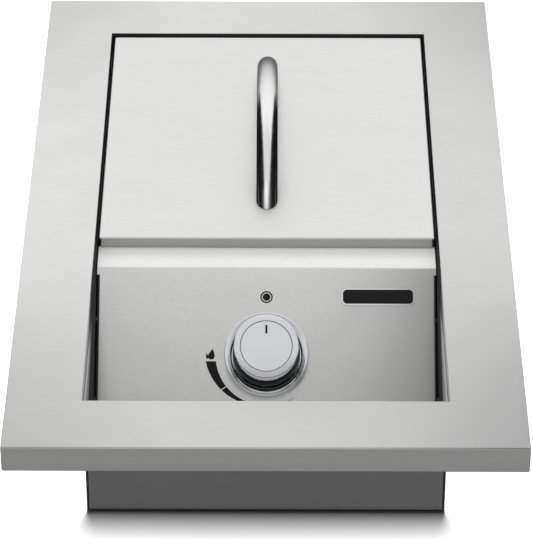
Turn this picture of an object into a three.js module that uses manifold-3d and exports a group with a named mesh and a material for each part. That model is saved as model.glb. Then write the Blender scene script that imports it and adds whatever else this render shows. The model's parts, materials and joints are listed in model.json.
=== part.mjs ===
// Built-in side burner for an outdoor kitchen: a drop-in steel housing with a folded trim frame,
// a sloping control panel with one knob, a round gas burner over a drip pan, a cast grate
// and a lift-off lid with a bow handle.
// Millimetres. +X is right, +Y is back, +Z is up. The origin is under the middle of the housing.
import * as THREE from "three";
import { mergeVertices } from "three/addons/utils/BufferGeometryUtils.js";
import Module from "manifold-3d";

const wasm = await Module();
wasm.setup();

// General clearances and cutting values
const fitGap = 0.3;
const cutOverrun = 2;
const weldTolerance = 0.0005;
const trayCapInset = 8;
const leastCornerShare = 0.25;

// Step counts
const bendSteps = 2;
const cornerSteps = 2;
const holeSides = 12;
const smallSides = 8;
const hexSides = 6;
const slotEndSteps = 3;
const springWireSides = 5;
const springStepsPerTurn = 7;
const electrodeSides = 6;
const electrodeSteps = 8;
const screwCrownShare = 0.75;

// Trim frame
const trimWidth = 356;
const trimDepth = 590;
const trimTop = 98.5;
const trimBorder = 52.4;
const trimSheet = 1.2;
const trimSkirt = 20.7;
const trimLip = 12;
const trimFlange = 20;
const trimBend = 1.8;
const trimLipBend = 2.6;
const trimCorner = 1.6;

// Housing box
const boxSheet = 1.2;
const boxTopDrop = 10.5;
const boxBend = 2;
const boxCorner = 2.2;
const ventHeight = 5;
const ventEndMargin = 20;
const sideVentLength = 34;
const sideVentLevel = 40;
const sideVentPitch = 56;
const rearVentLength = 26;
const rearVentLevel = 56;
const rearVentPitch = 42;
const floorVentLength = 90;
const floorVentPitch = 16;
const floorVentCount = 2;
const floorVentOffset = 34;

// Recess over the controls, from the opening's front edge to the lid
const recessLength = 196.8;

// Lift-off lid
const lidSideGap = 2.1;
const lidRearGap = 2.8;
const lidTopDrop = 1.5;
const lidSkirt = 8.2;
const lidSheet = 1.2;
const lidBend = 1.7;
const lidCorner = 2.4;

// Bow handle
const handleDiameter = 15.9;
const handleFromLidEnd = 49.3;
const handleRise = 35.6;
const handleSides = 16;
const handleSteps = 18;
const handleScrewRadius = 2.5;
const handleScrewDepth = 5.6;
const handleScrewHead = 5;
const handleScrewHeadHeight = 1.9;

// Lid bumpers
const bumperRadius = 4;

// Control panel and ledge
const slopeDegrees = 39;
const panelSheet = 1.2;
const panelSideGap = 0.7;
const ledgeReach = 24.6;
const ledgeUnderLid = 13.3;
const ledgeRearDrop = 14;
const panelBend = 2;
const panelLip = 14;
const panelReturn = 12;
const panelReturnBend = 2;
const panelReturnNotch = 6;
const panelHole = 7;
const panelDrainRadius = 4;
const panelDrainFromSide = 33.4;
const panelDrainFromLip = 24;
const panelScrewRadius = 1.9;
const panelScrewHead = 3.6;
const panelScrewHeadHeight = 1.6;
const panelScrewLength = 7;
const panelScrewReachShares = [0.28, 0.72];

// Knob and bezel, as heights over the panel's face
const knobReach = 67.1;
const bezelRadius = 30.3;
const bezelInner = 25.6;
const bezelHole = 16;
const bezelHeight = 9.5;
const bezelFloor = 1.5;
const bezelEdge = 0.9;
const bezelEdgeShare = 0.3;
const bezelSides = 30;
const bezelScrewCircle = 27.9;
const bezelScrewRadius = 1.3;
const bezelScrewDepth = 5;
const bezelScrewHead = 2.6;
const bezelScrewHeadHeight = 1.4;
const bezelScrewCount = 2;
const knobTravel = 4;
const knobRunGap = 0.4;
const knobFlangeRadius = 24.4;
const knobFlangeHeight = 3.2;
const knobWaistRadius = 22.4;
const knobBeadRadius = 23.2;
const knobBeadLow = 19.6;
const knobBeadHeight = 3;
const knobGroove = 0.8;
const knobRimRadius = 23.4;
const knobTopHeight = 29.9;
const knobFaceRadius = 18.4;
const knobFaceThickness = 2;
const knobDeck = 2.8;
const knobWall = 1.6;
const knobHubRadius = 6.5;
const knobSides = 30;

// Valve: depths are measured inwards from the panel's face
const stemRadius = 3;
const stemFlat = 2.2;
const stemInKnob = 22;
const stemCollarRadius = 4.8;
const stemCollarHeight = 1.4;
const stemTipDepth = 15;
const bonnetRadius = 15.5;
const bonnetHeight = 7.5;
const bonnetCeiling = 1.8;
const valveScrewOffset = 12;
const valveScrewRadius = 1.6;
const valveScrewHead = 3.1;
const valveScrewHeadHeight = 1.8;
const valveScrewDepth = 12;
const valveFlange = 4;
const valveBarrelRadius = 12;
const valveTailRadius = 10.6;
const valveTailWall = 2.6;
const plugTopRadius = 8;
const plugTailRadius = 6.1;
const plugLength = 23.4;
const plugPortDepth = 27.5;
const plugPortRadius = 2;
const plugGasBore = 3.2;
const plugGasBoreDepth = 8.4;
const plugSpringFloor = 22.5;
const inletChamber = 5.2;
const gasBoreRadius = 2.4;
const valveBossRadius = 6.6;
const outletReach = 24;
const inletReach = 20;
const springWire = 0.6;
const springMeanRadius = 1.85;
const springTurns = 4;

// Orifice, venturi tube and air shutter
const orificeAcrossFlats = 12;
const orificeHexLength = 5;
const orificeNozzleRadius = 4;
const orificeNozzleLength = 9;
const orificeJetRadius = 0.7;
const venturiRadius = 11;
const venturiSheet = 1.2;
const mixerRadius = 14;
const mixerLength = 31;
const mixerCone = 7;
const mixerHoodGap = 2.2;
const windowLength = 16;
const windowHeight = 13;
const windowFromHood = 7;
const shutterSheet = 1;
const shutterMargin = 3;
const shutterTab = 7;
const shutterRestDegrees = 20;
const tubeSides = 16;

// Burner
const burnerWall = 3.5;
const bowlBottom = 11.5;
const bowlFootRadius = 20;
const bowlRadius = 45;
const bowlShoulder = 54;
const bowlWaistHeightShare = 0.5;
const bowlWaistReachShare = 0.82;
const burnerFlangeRadius = 52;
const burnerFlange = 3;
const headTop = 72;
const headRadius = 44;
const portCount = 20;
const portWidth = 2.4;
const portDepth = 5;
const socketWall = 3.4;
const socketReach = 57;
const socketDepth = 27;
const earReach = 66;
const earWidth = 16;
const earScrewInset = 5.5;
const capRadius = 46.5;
const capEdge = 4;
const capCrown = 3.2;
const capSpigot = 4;
const capSpigotGap = 0.9;
const capCrownShare = 0.7;
const capBevelShare = 0.3;
const burnerSides = 30;

// Burner bracket
const bracketSheet = 1.5;
const bracketWidth = 20;
const bracketBend = 2.5;
const bracketTab = 14;
const bracketOutset = 2.5;
const bracketScrewRadius = 2;
const bracketScrewHead = 3.4;
const bracketScrewHeadHeight = 0.6;
const bracketScrewLength = 9;

// Igniter
const electrodeCircle = 57;
const electrodeDegrees = 225;
const ceramicRadius = 3;
const ceramicLow = 42;
const ceramicHigh = 66;
const ceramicCollarRadius = 4.6;
const ceramicCollarHeight = 2.4;
const electrodeRodRadius = 1;
const electrodeRodRise = 4.2;
const sparkGap = 4;
const electrodeTabWidth = 13;
const electrodeTabSheet = 1.5;
const electrodeTabOverlap = 5.5;
const piezoWidth = 16;
const piezoHeight = 16;
const piezoLength = 22;
const piezoEdge = 2;
const piezoDepth = 12;
const piezoPadWidth = 10;
const piezoPadLength = 14;
const piezoPadReach = 15.7;
const nippleRadius = 3.2;
const nippleLength = 5;
const wireRadius = 1.5;
const wireSides = 8;
const wireSteps = 26;

// Gas supply
const supplyFromWall = 40.1;
const supplyRadius = 4;
const supplyBend = 22;
const supplySteps = 22;
const nutAcrossFlats = 14;
const nutLength = 9;
const inletShankRadius = 7.7;
const inletBore = 3.5;
const inletHexAcrossFlats = 18;
const inletHexLength = 7.7;
const inletOutside = 22;
const locknutAcrossFlats = 22;
const locknutThickness = 6;

// Heat shield
const shieldSheet = 1.2;
const shieldFoot = 14;
const shieldSideGap = 1;
const shieldWireX = -54;
const shieldWireNotch = 5;
const shieldRivetFromSide = 44;

// Rails and rivets
const railSheet = 1.2;
const railWidth = 11.4;
const railDrop = 17;
const railBend = 1.6;
const rivetRadius = 1.6;
const rivetHead = 3.2;
const rivetHeadHeight = 1;
const rivetCrownShare = 0.6;
const rivetAboveFlange = 4.6;
const sideRivetFromFront = 33.6;
const sideRivetFromBack = 46.6;
const rearRivetFromSide = 49.1;

// Drip pan
const panSheet = 0.8;
const panRimWidth = 11.6;
const panSkirtGap = 1.3;
const panDepth = 30.8;
const panDraft = 3;
const panBend = 4;
const panCorner = 14;
const panHoleGap = 2.4;
const panCollar = 8;
const panElectrodeHole = 5.6;

// Cooking grate
const grateTop = 92.5;
const grateHeight = 9;
const grateInsetX = 15.4;
const grateInsetY = 16.7;
const grateBarFoot = 9;
const grateBarCrest = 6.4;
const grateCorner = 12;
const grateOpening = 44;
const grateFootRadius = 4.4;
const grateFootTip = 3.2;
const grateFootInset = 7;
const grateNose = 4;

// Derived places
const degree = Math.PI / 180;
const quarterTurn = 90 * degree;
const fullTurn = 360 * degree;
const slope = slopeDegrees * degree;
const openingHalfX = trimWidth / 2 - trimBorder;
const openingHalfY = trimDepth / 2 - trimBorder;
const boxHalfX = openingHalfX - fitGap;
const boxHalfY = openingHalfY - fitGap;
const boxInnerX = boxHalfX - boxSheet;
const boxInnerY = boxHalfY - boxSheet;
const boxTop = trimTop - boxTopDrop;
const lidTop = trimTop - lidTopDrop;
const lidUnderside = lidTop - lidSheet;
const lidBottom = lidTop - lidSkirt;
const lidHalfX = openingHalfX - lidSideGap;
const lidBack = openingHalfY - lidRearGap;
const lidFront = recessLength - openingHalfY;
const lidLength = lidBack - lidFront;
const lidMiddle = (lidBack + lidFront) / 2;
const handleChord = lidLength - 2 * handleFromLidEnd;
const seatTop = lidBottom - fitGap;
const ledgeFront = lidFront - ledgeReach;
const ledgeBack = lidFront + ledgeUnderLid;
const supplyX = boxInnerX - supplyFromWall;
const floorTop = boxSheet;
const knobY = ledgeFront - knobReach * Math.cos(slope);
const knobZ = seatTop - knobReach * Math.sin(slope);
const plugPortY = knobY + plugPortDepth * Math.sin(slope);
const venturiZ = knobZ - plugPortDepth * Math.cos(slope);
const panRimTop = seatTop + fitGap + panSheet;
const panFloor = panRimTop - panDepth;
const burnerY = lidMiddle;

// Material finishes
const finishes = {
  satinSteel: { color: 0xc9c9c8, roughness: 0.36, metalness: 1 },
  darkSteel: { color: 0x8b8c8e, roughness: 0.45, metalness: 1 },
  chrome: { color: 0xdfe0e3, roughness: 0.07, metalness: 1 },
  polishedSteel: { color: 0xd2d3d5, roughness: 0.1, metalness: 1 },
  satinCap: { color: 0xd3d4d6, roughness: 0.28, metalness: 1 },
  brass: { color: 0xb89a55, roughness: 0.34, metalness: 1 },
  zinc: { color: 0xa9abac, roughness: 0.42, metalness: 1 },
  aluminium: { color: 0xb7b9ba, roughness: 0.4, metalness: 1 },
  castIron: { color: 0x2b2b2c, roughness: 0.72, metalness: 0.4 },
  enamel: { color: 0x17181a, roughness: 0.25, metalness: 0 },
  ceramic: { color: 0xe9e6dd, roughness: 0.4, metalness: 0 },
  blackPlastic: { color: 0x1b1c1e, roughness: 0.5, metalness: 0 },
  silicone: { color: 0x3a3a3b, roughness: 0.8, metalness: 0 },
};

// Welds a geometry's vertices, drops collapsed triangles and turns its faces outwards.
function solid(geometry) {
  const bare = new THREE.BufferGeometry();
  bare.setAttribute("position", geometry.getAttribute("position"));
  bare.setIndex(geometry.index);
  const welded = mergeVertices(bare, weldTolerance);
  const index = welded.index.array;
  const position = welded.getAttribute("position");
  const [a, b, c] = [new THREE.Vector3(), new THREE.Vector3(), new THREE.Vector3()];
  const faces = [];
  let volume = 0;
  for (let i = 0; i < index.length; i += 3) {
    const [p, q, r] = [index[i], index[i + 1], index[i + 2]];
    if (p === q || q === r || r === p) continue;
    faces.push(p, q, r);
    a.fromBufferAttribute(position, p);
    b.fromBufferAttribute(position, q);
    c.fromBufferAttribute(position, r);
    volume += a.dot(b.cross(c));
  }
  if (volume < 0) faces.reverse();
  welded.setIndex(faces);
  return welded;
}

function manifoldOf(geometry) {
  const vertProperties = new Float32Array(geometry.getAttribute("position").array);
  const triVerts = new Uint32Array(geometry.index.array);
  return new wasm.Manifold(new wasm.Mesh({ numProp: 3, vertProperties, triVerts }));
}

function geometryOf(manifold) {
  const mesh = manifold.getMesh();
  const geometry = new THREE.BufferGeometry();
  const position = new THREE.Float32BufferAttribute(mesh.vertProperties, mesh.numProp);
  geometry.setAttribute("position", position);
  geometry.setIndex([...mesh.triVerts]);
  return geometry;
}

function fuse(...geometries) {
  return geometryOf(geometries.map(manifoldOf).reduce((sum, next) => sum.add(next)));
}

function cutAway(base, ...tools) {
  return geometryOf(tools.map(manifoldOf).reduce((rest, tool) => rest.subtract(tool), manifoldOf(base)));
}

// Revolves [radius, height] points about the Z axis.
function revolve(profile, sides) {
  const points = profile.map(([radius, height]) => new THREE.Vector2(radius, height));
  return solid(new THREE.LatheGeometry(points, sides).rotateX(quarterTurn));
}

// Revolves a profile that closes on itself.
function revolveRing(profile, sides) {
  return revolve([...profile, profile[0]], sides);
}

function polygon(points) {
  return new THREE.Shape(points.map(([across, up]) => new THREE.Vector2(across, up)));
}

function disc(radius, [across, up], sides) {
  const points = [];
  for (let i = 0; i < sides; i += 1) {
    const angle = ((i + 0.5) / sides) * fullTurn;
    points.push([across + radius * Math.cos(angle), up + radius * Math.sin(angle)]);
  }
  return polygon(points);
}

// A slot with round ends, its length along the first axis.
function slotShape(length, width, [across, up]) {
  const points = [];
  const radius = width / 2;
  const run = length / 2 - radius;
  [1, -1].forEach((end) => {
    for (let i = 0; i <= slotEndSteps; i += 1) {
      const angle = ((2 * i) / slotEndSteps - 1) * quarterTurn;
      points.push([across + end * (run + radius * Math.cos(angle)), up + end * radius * Math.sin(angle)]);
    }
  });
  return polygon(points);
}

// Where a flat shape's own two axes and its extrusion axis point.
const xAxis = new THREE.Vector3(1, 0, 0);
const yAxis = new THREE.Vector3(0, 1, 0);
const zAxis = new THREE.Vector3(0, 0, 1);
const turned = {
  x: new THREE.Matrix4().makeBasis(yAxis, zAxis, xAxis),
  y: new THREE.Matrix4().makeBasis(xAxis, zAxis, yAxis),
  z: new THREE.Matrix4().makeBasis(xAxis, yAxis, zAxis),
};

// Extrudes a shape from one place to another along an axis.
function prism(shape, from, to, axis) {
  const geometry = new THREE.ExtrudeGeometry(shape, { depth: to - from, bevelEnabled: false });
  geometry.translate(0, 0, from);
  geometry.applyMatrix4(turned[axis]);
  return solid(geometry);
}

function rod(radius, from, to, axis, place, sides = holeSides) {
  return prism(disc(radius, place, sides), from, to, axis);
}

function block(x, y, z) {
  const shape = polygon([[x[0], y[0]], [x[1], y[0]], [x[1], y[1]], [x[0], y[1]]]);
  return prism(shape, z[0], z[1], "z");
}

// A round section swept along a curve.
function rodAlong(curve, radius, sides, steps) {
  const shape = disc(radius, [0, 0], sides);
  return solid(new THREE.ExtrudeGeometry(shape, { steps, extrudePath: curve, bevelEnabled: false }));
}

function hexagon(acrossFlats, place) {
  return disc(acrossFlats / 2 / Math.cos(fullTurn / 2 / hexSides), place, hexSides);
}

function pointsOf(pairs) {
  return pairs.map(([across, up]) => new THREE.Vector2(across, up));
}

// Rounds the corners of an open path, one radius for each corner.
function bentPath(corners, radii) {
  const places = pointsOf(corners);
  const path = [places[0]];
  radii.forEach((radius, i) => {
    const corner = places[i + 1];
    const before = places[i].clone().sub(corner).normalize();
    const after = places[i + 2].clone().sub(corner).normalize();
    const halfAngle = Math.acos(before.dot(after)) / 2;
    const middle = before.clone().add(after).normalize();
    const centre = corner.clone().addScaledVector(middle, radius / Math.sin(halfAngle));
    const start = corner.clone().addScaledVector(before, radius / Math.tan(halfAngle)).sub(centre);
    const turn = Math.sign(start.cross(middle.clone().negate())) * (2 * quarterTurn - 2 * halfAngle);
    for (let step = 0; step <= bendSteps; step += 1) {
      path.push(start.clone().rotateAround(new THREE.Vector2(), (turn * step) / bendSteps).add(centre));
    }
  });
  path.push(places.at(-1));
  return path;
}

// Moves a path sideways, to its right for a positive distance.
function shifted(path, distance) {
  return path.map((point, i) => {
    const sides = [];
    [[i - 1, i], [i, i + 1]].forEach(([from, to]) => {
      if (from < 0 || to >= path.length) return;
      const along = path[to].clone().sub(path[from]).normalize();
      sides.push(new THREE.Vector2(along.y, -along.x));
    });
    const mitre = sides.reduce((sum, side) => sum.clone().add(side)).normalize();
    return point.clone().addScaledVector(mitre, distance / mitre.dot(sides[0]));
  });
}

// The outline of a bent sheet whose face follows a path, its thickness to the path's right.
function sheetOutline(corners, radii, thickness) {
  const path = bentPath(corners, radii);
  return [...path, ...shifted(path, thickness).reverse()];
}

function rectangleRing(halfX, halfY, radius, z) {
  const ring = [];
  [[1, 1], [-1, 1], [-1, -1], [1, -1]].forEach(([sideX, sideY], corner) => {
    for (let step = 0; step <= cornerSteps; step += 1) {
      const angle = (corner + step / cornerSteps) * quarterTurn;
      const x = sideX * (halfX - radius) + radius * Math.cos(angle);
      const y = sideY * (halfY - radius) + radius * Math.sin(angle);
      ring.push(new THREE.Vector3(x, y, z));
    }
  });
  return ring;
}

// Skins a list of rings. A closed skin joins its last ring to its first, an open one is capped.
function skin(rings, closed) {
  const size = rings[0].length;
  const faces = [];
  const bands = closed ? rings.length : rings.length - 1;
  for (let band = 0; band < bands; band += 1) {
    const low = band * size;
    const high = ((band + 1) % rings.length) * size;
    for (let i = 0; i < size; i += 1) {
      const j = (i + 1) % size;
      faces.push(low + i, low + j, high + j, low + i, high + j, high + i);
    }
  }
  if (!closed) {
    const last = (rings.length - 1) * size;
    for (let i = 1; i < size - 1; i += 1) faces.push(0, i + 1, i, last, last + i, last + i + 1);
  }
  const geometry = new THREE.BufferGeometry();
  const positions = rings.flat().flatMap((point) => point.toArray());
  geometry.setAttribute("position", new THREE.Float32BufferAttribute(positions, 3));
  geometry.setIndex(faces);
  return solid(geometry);
}

// Carries an outline of [outset, height] round a rectangle, with mitred or rounded corners.
function carryRound(outline, halfX, halfY, corner, closed) {
  const least = corner * leastCornerShare;
  const rings = outline.map((point) => {
    const radius = Math.max(corner + Math.min(point.x, 0), least);
    return rectangleRing(halfX + point.x, halfY + point.x, radius, point.y);
  });
  return skin(rings, closed);
}

const assembly = new THREE.Group();
const controlGroup = new THREE.Group();
controlGroup.position.set(0, knobY, knobZ);
controlGroup.rotation.x = slope;
assembly.add(controlGroup);

function add(name, geometry, finish, parent = assembly) {
  const mesh = new THREE.Mesh(geometry, new THREE.MeshStandardMaterial(finishes[finish]));
  mesh.name = name;
  parent.add(mesh);
  return mesh;
}

// A place over the sloping panel, given as across, up the slope and out of the face.
function onPanel(across, up, out) {
  const y = knobY + up * Math.cos(slope) - out * Math.sin(slope);
  const z = knobZ + up * Math.sin(slope) + out * Math.cos(slope);
  return new THREE.Vector3(across, y, z);
}

// A pan-head screw along an axis, its head just over the seat and its shank down to the tip.
function screw(headRadius, headHeight, shankRadius, seat, tip, axis, place) {
  const outward = Math.sign(seat - tip);
  const whole = revolve([
    [0, outward * (tip - seat)],
    [shankRadius, outward * (tip - seat)],
    [shankRadius, fitGap],
    [headRadius, fitGap],
    [headRadius, fitGap + headHeight / 2],
    [headRadius * screwCrownShare, fitGap + headHeight],
    [0, fitGap + headHeight],
  ], smallSides);
  if (outward < 0) whole.rotateX(2 * quarterTurn);
  whole.translate(place[0], place[1], seat);
  whole.applyMatrix4(turned[axis]);
  return solid(whole);
}

// A rivet with a low head at each side of a stack of sheets that runs from "low" to "high".
function rivet(low, high, axis, place) {
  const start = low - fitGap;
  const end = high + fitGap;
  const whole = revolve([
    [0, start - rivetHeadHeight],
    [rivetHead * rivetCrownShare, start - rivetHeadHeight],
    [rivetHead, start],
    [rivetRadius, start],
    [rivetRadius, end],
    [rivetHead, end],
    [rivetHead * rivetCrownShare, end + rivetHeadHeight],
    [0, end + rivetHeadHeight],
  ], smallSides);
  whole.translate(place[0], place[1], 0);
  whole.applyMatrix4(turned[axis]);
  return solid(whole);
}

// Trim frame
const rivetZ = trimTop - trimFlange + rivetAboveFlange;
const rivetHole = rivetRadius + fitGap;
const railFront = ledgeBack + 3 * fitGap;
const railBack = boxInnerY - fitGap - boxCorner;
const sideRivetYs = [railFront + sideRivetFromFront, railBack - sideRivetFromBack];
const rearRivetXs = [rearRivetFromSide - boxInnerX, boxInnerX - rearRivetFromSide];
const stackX = openingHalfX + trimSheet;
const stackY = openingHalfY + trimSheet;

// Drill tools for every rivet that joins the trim, the box and the rails
function rivetDrills() {
  const reachX = stackX + cutOverrun;
  const reachY = stackY + cutOverrun;
  const depth = trimSheet + boxSheet + railSheet + 2 * cutOverrun;
  const drills = [];
  sideRivetYs.forEach((y) => {
    drills.push(rod(rivetHole, -reachX, -reachX + depth, "x", [y, rivetZ], smallSides));
    drills.push(rod(rivetHole, reachX - depth, reachX, "x", [y, rivetZ], smallSides));
  });
  rearRivetXs.forEach((x) => {
    drills.push(rod(rivetHole, reachY - depth, reachY, "y", [x, rivetZ], smallSides));
  });
  return drills;
}

const trimOutline = sheetOutline([
  [0, trimTop - trimFlange],
  [0, trimTop],
  [trimBorder, trimTop],
  [trimBorder, trimTop - trimSkirt],
  [trimBorder - trimLip, trimTop - trimSkirt],
], [trimBend, trimBend, trimLipBend], trimSheet);
const trimBlank = carryRound(trimOutline, openingHalfX, openingHalfY, trimCorner, true);
add("trim_frame", cutAway(trimBlank, ...rivetDrills()), "satinSteel");

// Housing box with vents low in its walls and under the burner
function boxVents() {
  const tools = [];
  const sideVentCount = Math.floor((lidLength - 2 * ventEndMargin) / sideVentPitch);
  const rearVentCount = Math.floor((2 * boxInnerX - 2 * ventEndMargin) / rearVentPitch);
  const wide = boxHalfX + cutOverrun;
  for (let i = 0; i < sideVentCount; i += 1) {
    const y = burnerY + (i - (sideVentCount - 1) / 2) * sideVentPitch;
    const slot = slotShape(sideVentLength, ventHeight, [y, sideVentLevel]);
    tools.push(prism(slot, -wide, -wide + 2 * cutOverrun + boxSheet, "x"));
    tools.push(prism(slot, wide - 2 * cutOverrun - boxSheet, wide, "x"));
  }
  for (let i = 0; i < rearVentCount; i += 1) {
    const x = (i - (rearVentCount - 1) / 2) * rearVentPitch;
    const slot = slotShape(rearVentLength, ventHeight, [x, rearVentLevel]);
    tools.push(prism(slot, boxInnerY - cutOverrun, boxHalfY + cutOverrun, "y"));
  }
  for (let i = 0; i < floorVentCount; i += 1) {
    [-1, 1].forEach((side) => {
      const y = burnerY + side * (floorVentOffset + i * floorVentPitch);
      const slot = slotShape(floorVentLength, ventHeight, [0, y]);
      tools.push(prism(slot, -cutOverrun, boxSheet + cutOverrun, "z"));
    });
  }
  return tools;
}

const plugTop = panelSheet + fitGap + bonnetHeight + 2 * fitGap;
const plugTail = plugTop + plugLength;
const chamberDepth = plugTail + fitGap + inletChamber / 2;
const supplyStart = onPanel(inletReach, 0, -chamberDepth);
const supplyZ = supplyStart.z;
const inletHole = inletShankRadius + fitGap;

const boxOutline = sheetOutline([
  [-trayCapInset, 0],
  [0, 0],
  [0, boxTop],
], [boxBend], -boxSheet);
const boxBlank = carryRound(boxOutline, boxHalfX, boxHalfY, boxCorner, false);
const panelEdgeX = boxInnerX - panelSideGap;

// The slope runs from the housing floor up to the ledge
const panelFloorTop = floorTop + fitGap + panelSheet;
const slopeFoot = ledgeFront - (seatTop - panelFloorTop) / Math.tan(slope);
const slopeLength = (seatTop - panelFloorTop) / Math.sin(slope);
const panelScrewUps = panelScrewReachShares.map((share) => knobReach - share * slopeLength);
const panelScrewOut = -panelReturn / 2 - panelReturnBend / 2;

function panelScrewDrills(radius) {
  const tools = [];
  panelScrewUps.forEach((up) => {
    const place = onPanel(0, up, panelScrewOut);
    const reach = boxHalfX + cutOverrun;
    const depth = boxSheet + panelSideGap + panelSheet + 2 * cutOverrun;
    tools.push(rod(radius, -reach, -reach + depth, "x", [place.y, place.z], smallSides));
    tools.push(rod(radius, reach - depth, reach, "x", [place.y, place.z], smallSides));
  });
  return tools;
}

const panelScrewHole = panelScrewRadius + fitGap;
const inletDrill = rod(inletHole, boxInnerY - cutOverrun, boxHalfY + cutOverrun, "y", [supplyX, supplyZ]);
add("burner_box", cutAway(boxBlank, ...boxVents(), ...rivetDrills(), ...panelScrewDrills(panelScrewHole),
  inletDrill), "darkSteel");

// Rivets through the trim's flange, the box and the rails
const stackInnerX = boxInnerX - fitGap - railSheet;
const stackInnerY = boxInnerY - fitGap - railSheet;
sideRivetYs.forEach((y, i) => {
  add(`rivet_left_${i + 1}`, rivet(-stackX, -stackInnerX, "x", [y, rivetZ]), "zinc");
  add(`rivet_right_${i + 1}`, rivet(stackInnerX, stackX, "x", [y, rivetZ]), "zinc");
});
rearRivetXs.forEach((x, i) => {
  add(`rivet_rear_${i + 1}`, rivet(stackInnerY, stackY, "y", [x, rivetZ]), "zinc");
});

// Rails that carry the rim of the drip pan and the edge of the lid
const railOuterX = boxInnerX - fitGap;
const railOuterY = boxInnerY - fitGap;
const railOutline = sheetOutline([
  [-railWidth, seatTop],
  [0, seatTop],
  [0, seatTop - railDrop],
], [railBend], railSheet);

function rail(outer, from, to, axis, side) {
  const shape = polygon(railOutline.map((point) => [side * (outer + point.x), point.y]));
  return prism(shape, from, to, axis);
}
add("side_rail_left", cutAway(rail(railOuterX, railFront, railBack, "y", -1), ...rivetDrills()), "zinc");
add("side_rail_right", cutAway(rail(railOuterX, railFront, railBack, "y", 1), ...rivetDrills()), "zinc");
const rearRailHalf = railOuterX - railWidth - fitGap;
add("rear_rail", cutAway(rail(railOuterY, -rearRailHalf, rearRailHalf, "x", 1), ...rivetDrills()), "zinc");

// Control panel: front lip, floor, slope, ledge and rear flange bent from one sheet
const panelFace = [
  [-(boxInnerY - fitGap - panelSheet), panelFloorTop + panelLip],
  [-(boxInnerY - fitGap - panelSheet), panelFloorTop],
  [slopeFoot, panelFloorTop],
  [ledgeFront, seatTop],
  [ledgeBack, seatTop],
  [ledgeBack, seatTop - ledgeRearDrop],
];
const panelOutline = sheetOutline(panelFace, [panelBend, panelBend, panelBend, panelBend], panelSheet);
const panelBlank = prism(polygon(panelOutline.map((point) => point.toArray())), -panelEdgeX, panelEdgeX, "x");

// Puts something made over the panel's plane, about the knob's centre, into its real place
function placeOnPanel(geometry) {
  const matrix = new THREE.Matrix4().makeRotationX(slope).setPosition(0, knobY, knobZ);
  geometry.applyMatrix4(matrix);
  return geometry;
}

const returnTop = knobReach - panelReturnNotch;
const returnLow = (floorTop + 2 * fitGap + panelReturn * Math.cos(slope) - knobZ) / Math.sin(slope);

function foldedSide(side) {
  const start = panelEdgeX - panelReturnBend;
  const outline = sheetOutline([
    [start - panelReturnBend, 0],
    [panelEdgeX, 0],
    [panelEdgeX, -panelReturn],
  ], [panelReturnBend], panelSheet);
  const shape = polygon(outline.map((point) => [side * point.x, point.y]));
  return placeOnPanel(prism(shape, returnLow, returnTop, "y"));
}

function returnRelief(side) {
  const near = side * (panelEdgeX - panelReturnBend);
  const far = side * (panelEdgeX + cutOverrun);
  const x = [Math.min(near, far), Math.max(near, far)];
  return placeOnPanel(block(x, [returnLow, returnTop], [-panelReturn, cutOverrun]));
}

const bezelScrewHole = bezelScrewRadius + fitGap;
const valveScrewHole = valveScrewRadius + fitGap;
const bezelScrewAngles = Array.from({ length: bezelScrewCount }, (_, i) => (i / bezelScrewCount) * fullTurn);

function bezelScrewPlace(angle) {
  return [bezelScrewCircle * Math.cos(angle), bezelScrewCircle * Math.sin(angle)];
}

function panelHoles() {
  const through = [-panelSheet - cutOverrun, cutOverrun];
  const tools = [placeOnPanel(rod(panelHole, ...through, "z", [0, 0]))];
  [-1, 1].forEach((side) => {
    const place = [0, side * valveScrewOffset];
    tools.push(placeOnPanel(rod(valveScrewHole, ...through, "z", place, smallSides)));
    const drainY = -(boxInnerY - panelDrainFromLip);
    const drainX = side * (panelEdgeX - panelDrainFromSide);
    tools.push(rod(panelDrainRadius, 0, panelFloorTop + cutOverrun, "z", [drainX, drainY]));
  });
  bezelScrewAngles.forEach((angle) => {
    tools.push(placeOnPanel(rod(bezelScrewHole, ...through, "z", bezelScrewPlace(angle), smallSides)));
  });
  return tools;
}

const shieldRivetZ = seatTop - ledgeRearDrop / 2;
const shieldRivetXs = [shieldRivetFromSide - boxInnerX, boxInnerX - shieldRivetFromSide];
const shieldBack = ledgeBack - panelSheet - fitGap;
const shieldFront = shieldBack - shieldSheet;

function shieldRivetDrills() {
  return shieldRivetXs.map((x) =>
    rod(rivetHole, shieldFront - cutOverrun, ledgeBack + cutOverrun, "y", [x, shieldRivetZ], smallSides));
}

const panelOpen = cutAway(panelBlank, returnRelief(-1), returnRelief(1));
const panelWhole = fuse(panelOpen, foldedSide(-1), foldedSide(1));
add("control_panel", cutAway(panelWhole, ...panelHoles(), ...panelScrewDrills(panelScrewHole),
  ...shieldRivetDrills()), "satinSteel");

// Screws through the box walls into the panel's folded sides
panelScrewUps.forEach((up, i) => {
  const place = onPanel(0, up, panelScrewOut);
  [["left", -1], ["right", 1]].forEach(([name, side]) => {
    const tip = side * (boxHalfX - panelScrewLength);
    add(`panel_screw_${name}_${i + 1}`, screw(panelScrewHead, panelScrewHeadHeight, panelScrewRadius,
      side * boxHalfX, tip, "x", [place.y, place.z]), "zinc");
  });
});

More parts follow.
